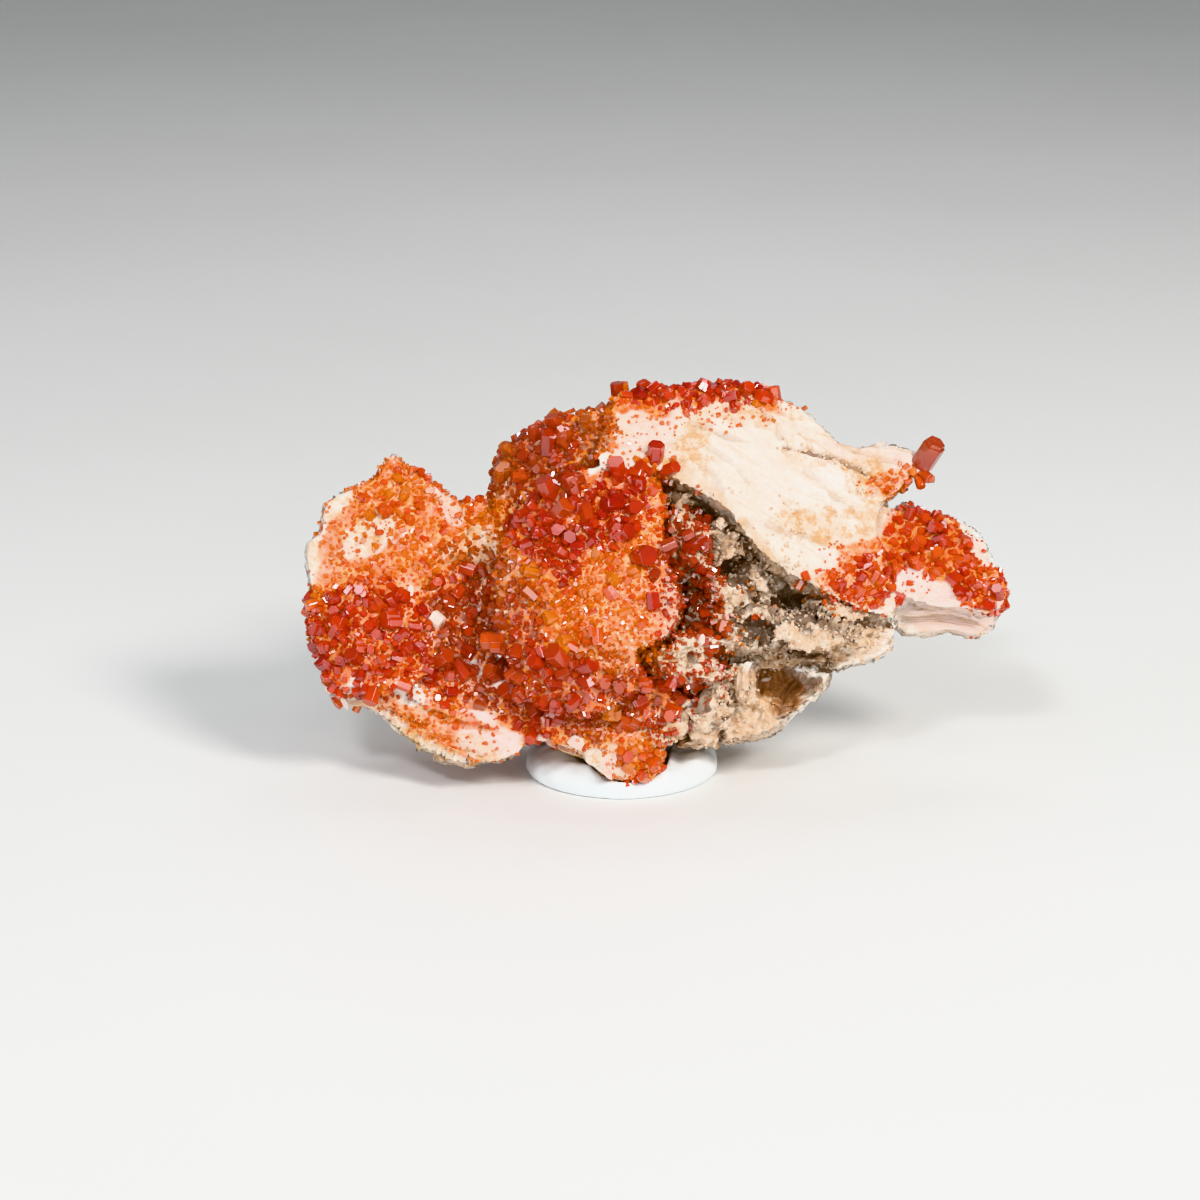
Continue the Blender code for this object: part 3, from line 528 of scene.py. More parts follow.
class Growth:
    """Collects crystals and makes one joined mesh of them."""

    def __init__(self, name):
        self.name = name
        self.crystals = {kind: [] for kind in TEMPLATES}

    def add(self, kind, place, axis, spin, radius, length, sunk, red, brown, squash=1.0):
        self.crystals[kind].append((*place, *axis, spin, radius, length, sunk, red, brown, squash))

    def build(self):
        points, tints, corners, starts = [], [], [], []
        first, loops = 0, 0
        for kind, rows in self.crystals.items():
            if not rows:
                continue
            shape, faces = TEMPLATES[kind]
            rows = np.array(rows)
            place, axis = rows[:, :3], rows[:, 3:6]
            spin, radius, length, sunk, red, brown, squash = rows[:, 6:].T
            side, other = across(axis)
            c, s = np.cos(spin)[:, None], np.sin(spin)[:, None]
            u, v = side * c + other * s, other * c - side * s
            x = shape[None, :, 0] * radius[:, None]
            y = shape[None, :, 1] * (radius * squash)[:, None]
            z = shape[None, :, 2] * length[:, None] - sunk[:, None]
            made = place[:, None] + x[..., None] * u[:, None] + y[..., None] * v[:, None]
            made = made + z[..., None] * axis[:, None]
            inwards = np.maximum(CAD_LOW - made.min(axis=1), 0) - np.maximum(made.max(axis=1) - CAD_HIGH, 0)
            made += inwards[:, None]
            points.append(made.reshape(-1, 3))
            tint = np.ones((len(rows), len(shape), 4), np.float32)
            tint[..., 0], tint[..., 1], tint[..., 2] = red[:, None], brown[:, None], shape[None, :, 2]
            tints.append(tint.reshape(-1, 4))
            flat = np.array([i for face in faces for i in face])
            begin = np.cumsum([0] + [len(face) for face in faces])[:-1]
            each = np.arange(len(rows))
            corners.append((flat[None] + (first + each * len(shape))[:, None]).ravel())
            starts.append((begin[None] + (loops + each * len(flat))[:, None]).ravel())
            first += len(rows) * len(shape)
            loops += len(rows) * len(flat)
        points, corners, starts = np.concatenate(points), np.concatenate(corners), np.concatenate(starts)
        mesh = bpy.data.meshes.new(self.name)
        mesh.vertices.add(len(points))
        mesh.vertices.foreach_set("co", points.astype(np.float32).ravel())
        mesh.loops.add(len(corners))
        mesh.loops.foreach_set("vertex_index", corners.astype(np.int32))
        mesh.polygons.add(len(starts))
        mesh.polygons.foreach_set("loop_start", starts.astype(np.int32))
        mesh.update(calc_edges=True)
        layer = mesh.color_attributes.new("tint", "FLOAT_COLOR", "POINT")
        layer.data.foreach_set("color", np.concatenate(tints).ravel())
        obj = bpy.data.objects.new(self.name, mesh)
        bpy.context.scene.collection.objects.link(obj)
        return obj


class Standing:
    """The crystals that stand so far, in cells, to keep new ones of up to a radius apart."""

    def __init__(self, others, most, share):
        self.cell, self.most, self.share = 2.2 * most, most, share
        self.cells = {}
        self.everything = list(others)
        for item in others:
            self.store(item)

    def store(self, item):
        x, y, z, radius = item
        reach = self.share * (radius + self.most)
        ends = [(math.floor((c - reach) / self.cell), math.floor((c + reach) / self.cell)) for c in (x, y, z)]
        spans = [range(low, high + 1) for low, high in ends]
        for i in spans[0]:
            for j in spans[1]:
                for k in spans[2]:
                    self.cells.setdefault((i, j, k), []).append(item)

    def add(self, place, radius):
        item = (*place, radius)
        self.everything.append(item)
        self.store(item)

    def free(self, place, radius):
        x, y, z = place
        key = (math.floor(x / self.cell), math.floor(y / self.cell), math.floor(z / self.cell))
        for ox, oy, oz, other in self.cells.get(key, ()):
            if (x - ox) ** 2 + (y - oy) ** 2 + (z - oz) ** 2 < (self.share * (radius + other)) ** 2:
                return False
        return True


def surface_samples(objects, count, seed):
    """Points spread evenly over the objects' faces, with the faces' outward directions."""
    chance = np.random.default_rng(seed)
    corners, normals, areas = [], [], []
    for obj in objects:
        mesh = obj.data
        mesh.calc_loop_triangles()
        index = np.empty(len(mesh.loop_triangles) * 3, np.int32)
        mesh.loop_triangles.foreach_get("vertices", index)
        index = index.reshape(-1, 3)
        points = vertices_of(mesh)[index]
        corners.append(points)
        normals.append(normals_of(mesh)[index].mean(axis=1))
        square = np.cross(points[:, 1] - points[:, 0], points[:, 2] - points[:, 0])
        areas.append(np.linalg.norm(square, axis=1))
    corners, normals, areas = np.concatenate(corners), np.concatenate(normals), np.concatenate(areas)
    picked = chance.choice(len(areas), count, p=areas / areas.sum())
    a, b = chance.random(count), chance.random(count)
    over = a + b > 1
    a, b = np.where(over, 1 - a, a), np.where(over, 1 - b, b)
    tri = corners[picked]
    points = tri[:, 0] + (tri[:, 1] - tri[:, 0]) * a[:, None] + (tri[:, 2] - tri[:, 0]) * b[:, None]
    found = normals[picked]
    found /= np.linalg.norm(found, axis=1)[:, None] + 1e-12
    return points, found


def leaned(normals, spread, chance):
    """Directions about the normals, leaned at random but never into the stone."""
    axes = normals + spread * chance.normal(0, 0.6, normals.shape)
    axes /= np.linalg.norm(axes, axis=1)[:, None] + 1e-12
    out = (axes * normals).sum(axis=1)
    axes += normals * np.maximum(0, 0.15 - out)[:, None]
    return axes / np.linalg.norm(axes, axis=1)[:, None]


# Large crystals stand where the CAD has them, from the same patches, draws and lines of sight, but their
# radii are this share of the CAD's.
LARGE_SHARE = 0.62
LOWEST_CRYSTAL = 1.2 * MM
PATCHES = [
    dict(middle=(364, 628), half=(54, 50), turn=0, crystals=26, radii=(0.7, 1.2)),
    dict(middle=(462, 622), half=(62, 50), turn=20, crystals=16, radii=(0.6, 0.95)),
    dict(middle=(582, 505), half=(68, 44), turn=-15, crystals=24, radii=(0.8, 1.35)),
    dict(middle=(545, 447), half=(58, 26), turn=-30, crystals=12, radii=(0.7, 1.1)),
    dict(middle=(590, 592), half=(76, 46), turn=5, crystals=18, radii=(0.6, 1.0)),
    dict(middle=(545, 672), half=(74, 34), turn=10, crystals=22, radii=(0.8, 1.3)),
    dict(middle=(655, 702), half=(56, 30), turn=-10, crystals=15, radii=(0.7, 1.1)),
    dict(middle=(392, 503), half=(46, 24), turn=-15, crystals=10, radii=(0.5, 0.8)),
    dict(middle=(692, 395), half=(78, 12), turn=4, crystals=18, radii=(0.6, 1.0)),
    dict(middle=(862, 582), half=(34, 24), turn=-5, crystals=12, radii=(0.55, 0.9)),
    dict(middle=(946, 560), half=(54, 26), turn=32, crystals=26, radii=(0.7, 1.1)),
    dict(middle=(638, 762), half=(16, 14), turn=0, crystals=5, radii=(0.6, 0.9)),
    dict(middle=(706, 566), half=(11, 58), turn=-6, crystals=12, radii=(0.5, 0.8)),
]


def tree_of(objects):
    points, faces, start = [], [], 0
    for obj in objects:
        own = vertices_of(obj.data)
        points.append(own)
        faces += [tuple(start + i for i in poly.vertices) for poly in obj.data.polygons]
        start += len(own)
    return BVHTree.FromPolygons(np.concatenate(points).tolist(), faces)


def cad_crystals(patch, tree):
    """Yields (place, axis, spin, radius, length) for a patch's large crystals."""
    chance = random.Random(patch["middle"][0] * 1000 + patch["middle"][1])
    taken, tries = [], 0
    turn = math.radians(patch["turn"])
    while len(taken) < patch["crystals"] and tries < 40 * patch["crystals"]:
        tries += 1
        radius = chance.uniform(*patch["radii"]) * MM
        share, angle = math.sqrt(chance.random()) * 0.92, chance.uniform(0, 2 * math.pi)
        lean = np.array([chance.uniform(-1, 1) for _ in range(3)])
        spin, slimness = chance.uniform(0, math.pi / 3), chance.uniform(1.2, 2.0)
        x, y = patch["half"][0] * share * math.cos(angle), patch["half"][1] * share * math.sin(angle)
        px = patch["middle"][0] + x * math.cos(turn) - y * math.sin(turn)
        py = patch["middle"][1] + x * math.sin(turn) + y * math.cos(turn)
        way = sight(px, py)
        place, normal, _, _ = tree.ray_cast(Vector(EYE), Vector(way))
        if place is None:
            continue
        place, normal = np.array(place), np.array(normal)
        if any(np.linalg.norm(place - other) < radius + r for other, r in taken):
            continue
        taken.append((place, radius))
        axis = normal - 0.5 * way + 0.75 * lean
        yield place, axis / np.linalg.norm(axis), spin, radius, slimness * radius


# Single crystals that stand out in the photograph: middle pixel, radius and length in millimetres, and the
# direction of the axis as right, towards the viewer and up.
SINGLE_CRYSTALS = [
    ((618, 396), 0.62, 1.9, (-0.1, 0.1, 1.0)), ((655, 458), 0.75, 2.2, (0.1, 0.3, 1.0)),
    ((668, 470), 0.6, 1.6, (0.6, 0.5, 0.4)), ((645, 470), 0.55, 1.5, (-0.5, 0.5, 0.6)),
    ((548, 446), 0.8, 2.2, (0.05, 0.25, 1.0)), ((560, 440), 0.7, 1.9, (0.3, 0.4, 0.9)),
    ((549, 492), 0.8, 2.1, (-0.35, 0.2, 0.8)), ((574, 490), 0.7, 2.3, (-0.3, 0.15, 0.9)),
    ((586, 510), 0.75, 2.0, (0.2, 0.7, -0.6)), ((560, 512), 0.85, 2.0, (0.5, 0.5, 0.7)),
    ((632, 508), 0.65, 1.6, (0.3, 0.8, 0.3)), ((622, 536), 0.75, 1.8, (0.5, 0.5, 0.5)),
    ((640, 556), 0.95, 2.2, (0.4, 0.6, 0.2)), ((460, 668), 0.7, 1.9, (0.55, 0.5, -0.6)),
    ((440, 660), 0.7, 1.8, (0.6, 0.5, 0.5)), ((534, 704), 1.0, 2.3, (0.3, 0.6, -0.5)),
    ((512, 694), 0.8, 2.0, (-0.5, 0.5, 0.5)), ((562, 660), 0.9, 2.4, (-0.5, 0.4, 0.6)),
    ((584, 668), 0.7, 2.0, (0.5, 0.5, 0.4)), ((694, 545), 0.8, 2.4, (0.9, 0.3, 0.3)),
    ((356, 658), 0.7, 1.8, (-0.3, 0.6, 0.5)),
]
# Crystals on the point of the plate: middle pixel, radius and length in millimetres, and direction.
TIP_DEPTH = -5.4 * MM
TIP_CRYSTALS = [
    ((924, 461), 1.05, 2.8, (0.42, 0.35, 0.84)), ((919, 463), 0.55, 2.2, (0.42, 0.35, 0.84)),
    ((930, 462), 0.5, 1.9, (0.42, 0.35, 0.84)), ((923, 474), 0.5, 1.1, (0.5, 0.6, -0.3)),
    ((919, 480), 0.42, 1.0, (0.2, 0.7, -0.6)), ((926, 479), 0.36, 0.9, (0.8, 0.4, 0.1)),
    ((914, 474), 0.4, 1.0, (-0.2, 0.8, 0.5)),
]


def sideways(axes, places, share):
    """Turns the axes so that less of them points along the line of sight: crystals show their long sides."""
    way = np.asarray(places) - EYE
    way /= np.linalg.norm(way, axis=-1, keepdims=True)
    axes = axes - share * (axes * way).sum(axis=-1, keepdims=True) * way
    return axes / np.linalg.norm(axes, axis=-1, keepdims=True)


def near(normal, spread, chance):
    """One direction about the normal."""
    return leaned(np.asarray(normal)[None, :], spread, chance)[0]


def grow_singles(large, standing, chance, stone_tree):
    """The crystals given one by one, on the plate's point and where their sight lines meet the stone."""
    for k, (pixel, radius, length, (right, towards, up)) in enumerate(TIP_CRYSTALS):
        way = sight(*pixel)
        place = EYE + way * ((TIP_DEPTH + VIEW_DISTANCE) / (way @ AHEAD))
        axis = np.array((right, -towards, up)) / math.hypot(right, towards, up)
        large.add("stepped" if k == 0 else "flat", place, axis, 0.2 + 0.3 * k, radius * MM, length * MM,
                  0.45 * radius * MM, 0.75 - 0.1 * k, 0.6 - 0.08 * k)
        standing.add(place, radius * MM)
    for pixel, radius, length, (right, towards, up) in SINGLE_CRYSTALS:
        place, normal, _, _ = stone_tree.ray_cast(Vector(EYE), Vector(sight(*pixel)))
        if place is None:
            continue
        axis = np.array((right, -towards, up)) / math.hypot(right, towards, up)
        axis += np.array(normal) * max(0, 0.1 - axis @ np.array(normal))
        axis /= np.linalg.norm(axis)
        spot = np.array(place) - axis * length * 0.35 * MM
        large.add("flat", spot, axis, chance.uniform(0, 1), radius * MM, length * MM, 0.0,
                  chance.uniform(0.5, 0.95), chance.uniform(0.0, 0.4), chance.uniform(0.85, 1.1))
        standing.add(np.array(place), radius * MM)


def grow_patches(large, standing, chance, cad_tree, stone_tree):
    """The large crystals of the CAD's patches, with neighbours that grew together with them."""
    for patch in PATCHES:
        found = list(cad_crystals(patch, cad_tree))
        places = np.array([place for place, *_ in found])
        reds, browns = field(places, RED_SPOTS, 0.3, 50), field(places, BROWN_AND_SHADE_SPOTS, 0.3, 55)
        for (place, axis, spin, radius, length), red, brown in zip(found, reds, browns):
            nearest, normal, _, _ = stone_tree.find_nearest(Vector(place))
            place, normal = np.array(nearest), np.array(normal)
            red = np.clip(red * 0.7 + chance.uniform(-0.15, 0.35), 0, 1)
            brown *= chance.uniform(0.2, 0.9)
            radius *= LARGE_SHARE
            axis = sideways(near(0.5 * axis + 0.5 * normal, 0.8, chance), place, 0.5)
            kind = chance.choice(SOWN["large"]["kinds"])
            large.add(kind, place, axis, spin, radius, radius * chance.uniform(1.9, 2.7), 0.55 * radius,
                      red, brown, chance.uniform(0.82, 1.12))
            standing.add(place, radius)
            for _ in range(chance.integers(1, 4)):
                aside = np.cross(axis, near(normal, 3, chance))
                aside /= np.linalg.norm(aside) + 1e-9
                size = radius * chance.uniform(0.5, 0.85)
                spot = place + aside * radius * chance.uniform(0.7, 1.15)
                spot = spot + axis * radius * chance.uniform(-0.3, 0.4)
                beside = axis if chance.random() < 0.5 else near(axis, 0.8, chance)
                large.add(chance.choice(("flat", "flat", "stepped")), spot, beside, spin, size,
                          size * chance.uniform(1.7, 2.7), 0.6 * size, red, brown, chance.uniform(0.85, 1.15))
                standing.add(spot, size)


# The other crystals, drawn by chance for each size: how many places are tried, the radii in millimetres, how
# far apart they stand as a share of their radii, how much the bare spots keep them out, how much they lean,
# how many stand behind, and how red they are.
SOWN = {
    "large": dict(spots=LARGE_SPOTS, seed=11, tries=12000, radii=(0.36, 0.70), apart=0.78, bare_power=1.0,
                  tilt=1.3, behind_share=0.04, redness=0.35,
                  kinds=("flat", "flat", "flat", "hopper", "stepped")),
    "medium": dict(spots=MEDIUM_SPOTS, seed=12, tries=36000, radii=(0.21, 0.42), apart=0.74, bare_power=0.9,
                   tilt=1.2, behind_share=0.10, redness=0.22, kinds=("small", "small", "small", "flat")),
    "fine": dict(spots=FINE_SPOTS, seed=13, tries=78000, radii=(0.12, 0.24), apart=0.70, bare_power=0.8,
                 tilt=1.0, behind_share=0.22, redness=0.05, kinds=("tiny",)),
    "dust": dict(spots=FINE_SPOTS, seed=14, tries=74000, radii=(0.07, 0.13), apart=0.66, bare_power=0.5,
                 tilt=0.9, behind_share=0.2, redness=-0.05, kinds=("grain",)),
}


def sow(growth, standing, stone, chance, spots, seed, tries, radii, apart, bare_power, tilt, behind_share,
        redness, kinds):
    """Adds crystals of one size where the spots want them and there is room."""
    points, normals = surface_samples(stone, tries, seed)
    facing = ramp(-(normals @ AHEAD) + 0.35 * normals[:, 2], -0.35, 0.0)
    facing = np.maximum(facing, ramp(-(normals @ AHEAD), 0.02, 0.2))
    wanted = field(points, spots, 0.3) * (1 - bare_power * field(points, BARE_SPOTS, 0.3)) * facing
    wanted *= ramp(-depth_of(points), -7.5 * MM, -3.5 * MM)
    # Behind, the crystals stand in scattered clusters.
    clusters = ramp(fractal_at(points, 6 * MM, 2, 101), 0.25, 0.7) * ramp(points[:, 2], 8 * MM, 22 * MM)
    edges = 0.5 * field(points, spots, 0.3) * ramp(-(points @ AHEAD), -3.5 * MM, 1.5 * MM)
    wanted = np.maximum(wanted, behind_share * np.maximum(clusters, edges) * (1 - facing))
    wanted *= points[:, 2] > LOWEST_CRYSTAL
    kept = wanted > chance.random(tries)
    points, normals = points[kept], normals[kept]
    count = len(points)
    red = redness + 0.5 * field(points, RED_SPOTS, 0.3, 50) + chance.uniform(-0.2, 0.25, count)
    red = np.clip(red, 0, 1)
    brown = field(points, BROWN_AND_SHADE_SPOTS, 0.3, 55) * chance.uniform(0.3, 1.0, count)
    mix = np.clip(0.55 * chance.random(count) + 0.225 * (1 + noise_at(points, 3 * MM, seed + 3)), 0, 1)
    radius = (radii[0] + (radii[1] - radii[0]) * mix**1.6) * MM
    axes = sideways(leaned(normals, tilt, chance), points, 0.45)
    spin, squash = chance.uniform(0, 2, count), chance.uniform(0.8, 1.2, count)
    length, kind = radius * chance.uniform(1.5, 2.6, count), chance.choice(kinds, count)
    for k in range(count):
        place = tuple(points[k])
        if standing.free(place, radius[k]):
            standing.add(place, radius[k])
            growth.add(kind[k], place, axes[k], spin[k], radius[k], length[k], 0.4 * radius[k], red[k],
                       brown[k], squash[k])


def grow_crystals(stone, cad_tree, stone_tree):
    chance = np.random.default_rng(7)
    growths = [Growth(f"vanadinite_{size}_crystals") for size in SOWN]
    standing = Standing([], 1.2 * MM, 0.78)
    grow_singles(growths[0], standing, chance, stone_tree)
    grow_patches(growths[0], standing, chance, cad_tree, stone_tree)
    for growth, settings in zip(growths, SOWN.values()):
        standing = Standing(standing.everything, settings["radii"][1] * MM, settings["apart"])
        sow(growth, standing, stone, chance, **settings)
    return [growth.build() for growth in growths]


# Materials

# The sockets for colours on a mix node.
MIX_SHARE, MIX_A, MIX_B, MIX_RESULT = 0, 6, 7, 2


class Nodes:
    """Short ways to build a node tree."""

    def __init__(self, name):
        self.material = bpy.data.materials.new(name)
        self.material.use_nodes = True
        self.tree = self.material.node_tree
        self.shader = self.tree.nodes["Principled BSDF"]

    def new(self, kind, **values):
        node = self.tree.nodes.new(kind)
        for key, value in values.items():
            setattr(node, key, value)
        return node

    def join(self, source, target):
        self.tree.links.new(source, target)

    def place(self):
        return self.new("ShaderNodeTexCoord").outputs["Object"]

    def noise(self, scale, detail=4, rough=0.55, where=None):
        node = self.new("ShaderNodeTexNoise")
        node.inputs["Scale"].default_value = scale
        node.inputs["Detail"].default_value = detail
        node.inputs["Roughness"].default_value = rough
        self.join(where or self.place(), node.inputs["Vector"])
        return node.outputs["Fac"]

    def cells(self, scale):
        """The distance to the nearest cell point."""
        node = self.new("ShaderNodeTexVoronoi")
        node.inputs["Scale"].default_value = scale
        self.join(self.place(), node.inputs["Vector"])
        return node.outputs["Distance"]

    def ramp(self, source, *stops):
        node = self.new("ShaderNodeValToRGB")
        ends = node.color_ramp.elements
        while len(ends) < len(stops):
            ends.new(0.5)
        for end, (position, colour) in zip(ends, stops):
            end.position = position
            end.color = (*colour, 1)
        self.join(source, node.inputs["Fac"])
        return node.outputs["Color"]

    def grey(self, source, low, high):
        """0 up to low, 1 from high."""
        node = self.new("ShaderNodeMapRange", interpolation_type="SMOOTHSTEP")
        node.inputs["From Min"].default_value = low
        node.inputs["From Max"].default_value = high
        self.join(source, node.inputs["Value"])
        return node.outputs["Result"]

    def maths(self, operation, a, b, clamp=False):
        node = self.new("ShaderNodeMath", operation=operation, use_clamp=clamp)
        for socket, value in zip(node.inputs, (a, b)):
            if isinstance(value, (int, float)):
                socket.default_value = value
            else:
                self.join(value, socket)
        return node.outputs["Value"]

    def times(self, a, b):
        return self.maths("MULTIPLY", a, b)

    def plus(self, a, b, clamp=False):
        return self.maths("ADD", a, b, clamp)

    def mix(self, share, a, b):
        """The colour a, or b as far as the share goes."""
        node = self.new("ShaderNodeMix", data_type="RGBA")
        for index, value in ((MIX_SHARE, share), (MIX_A, a), (MIX_B, b)):
            socket = node.inputs[index]
            if isinstance(value, (int, float)):
                socket.default_value = value
            elif isinstance(value, tuple):
                socket.default_value = (*value, 1)
            else:
                self.join(value, socket)
        return node.outputs[MIX_RESULT]

    def tint(self, name="tint"):
        """The three values of a colour attribute."""
        attribute = self.new("ShaderNodeAttribute", attribute_name=name)
        parts = self.new("ShaderNodeSeparateColor")
        self.join(attribute.outputs["Color"], parts.inputs["Color"])
        return parts.outputs["Red"], parts.outputs["Green"], parts.outputs["Blue"]

    def height_along(self, direction):
        """How far along a direction each place lies."""
        node = self.new("ShaderNodeVectorMath", operation="DOT_PRODUCT")
        self.join(self.place(), node.inputs[0])
        node.inputs[1].default_value = direction
        return node.outputs["Value"]

    def stripes(self, height, thickness, waves, wave_height):
        """A wavy stripe, 0 to 1, for each layer of the thickness that the height passes through."""
        wavy = self.plus(height, self.times(waves, wave_height))
        return self.noise(1.0, 3, 0.6, self.stretched(wavy, 1 / thickness))

    def streaks(self, width, length):
        """A place for noise that is drawn out down and to the right, the way the plate's fibres run."""
        joined = self.new("ShaderNodeCombineXYZ")
        self.join(self.maths("DIVIDE", self.height_along(FIBRES), length), joined.inputs["X"])
        self.join(self.maths("DIVIDE", self.height_along(np.cross(FIBRES, AHEAD)), width), joined.inputs["Y"])
        self.join(self.maths("DIVIDE", self.height_along(AHEAD), 2 * width), joined.inputs["Z"])
        return joined.outputs["Vector"]

    def stretched(self, height, scale):
        """A vector that changes fast with the height and slowly with the place."""
        joined = self.new("ShaderNodeCombineXYZ")
        self.join(self.maths("MULTIPLY", height, scale), joined.inputs["X"])
        mixed = self.new("ShaderNodeVectorMath", operation="MULTIPLY_ADD")
        self.join(self.place(), mixed.inputs[0])
        mixed.inputs[1].default_value = (90, 90, 90)
        self.join(joined.outputs["Vector"], mixed.inputs[2])
        return mixed.outputs["Vector"]

    def bump(self, height, strength, distance, normal=None):
        node = self.new("ShaderNodeBump")
        node.inputs["Strength"].default_value = strength
        node.inputs["Distance"].default_value = distance
        self.join(height, node.inputs["Height"])
        if normal:
            self.join(normal, node.inputs["Normal"])
        return node.outputs["Normal"]

    def colour(self, source):
        self.join(source, self.shader.inputs["Base Color"])

    def roughness(self, source):
        self.join(source, self.shader.inputs["Roughness"])

    def set(self, **values):
        for key, value in values.items():
            self.shader.inputs[key.replace("_", " ")].default_value = value


def vanadinite_material():
    n = Nodes("vanadinite")
    red, brown, rise = n.tint()
    cloud = n.noise(700, 3)
    tone = n.plus(red, n.times(n.maths("SUBTRACT", cloud, 0.5), 0.5), clamp=True)
    body = n.ramp(tone, (0.0, (0.95, 0.27, 0.020)), (0.3, (0.91, 0.145, 0.016)),
                  (0.6, (0.78, 0.065, 0.014)), (1.0, (0.52, 0.026, 0.012)))
    # Browner crystals; on the ridge at the top left this brown is painted shade.
    body = n.mix(brown, body, n.ramp(cloud, (0.3, (0.42, 0.062, 0.022)), (0.7, (0.58, 0.13, 0.04))))
    # Painted shade: crystals are darker towards their feet, where they stand among the others.
    n.colour(n.mix(n.grey(rise, 0.0, 0.75), n.mix(0.35, body, (0.35, 0.02, 0.004)), body))
    n.join(n.bump(n.noise(2600, 2), 0.12, 0.04 * MM), n.shader.inputs["Normal"])
    n.set(IOR=1.9, Transmission_Weight=0.5, Roughness=0.09)
    return n.material


def earth_colour(n, grains):
    """Limonite: brown crumbs and pale sugary grains. Also returns the crumbs' noise."""
    crumb = n.noise(1500, 5, 0.65)
    earth = n.ramp(crumb, (0.28, (0.27, 0.142, 0.080)), (0.44, (0.54, 0.365, 0.235)),
                   (0.58, (0.71, 0.56, 0.425)), (0.78, (0.85, 0.75, 0.64)))
    pale = n.grey(n.plus(grains, n.times(n.noise(2600, 2), 0.5)), 0.80, 1.05)
    return n.mix(n.times(pale, 0.55), earth, (0.84, 0.75, 0.63)), crumb


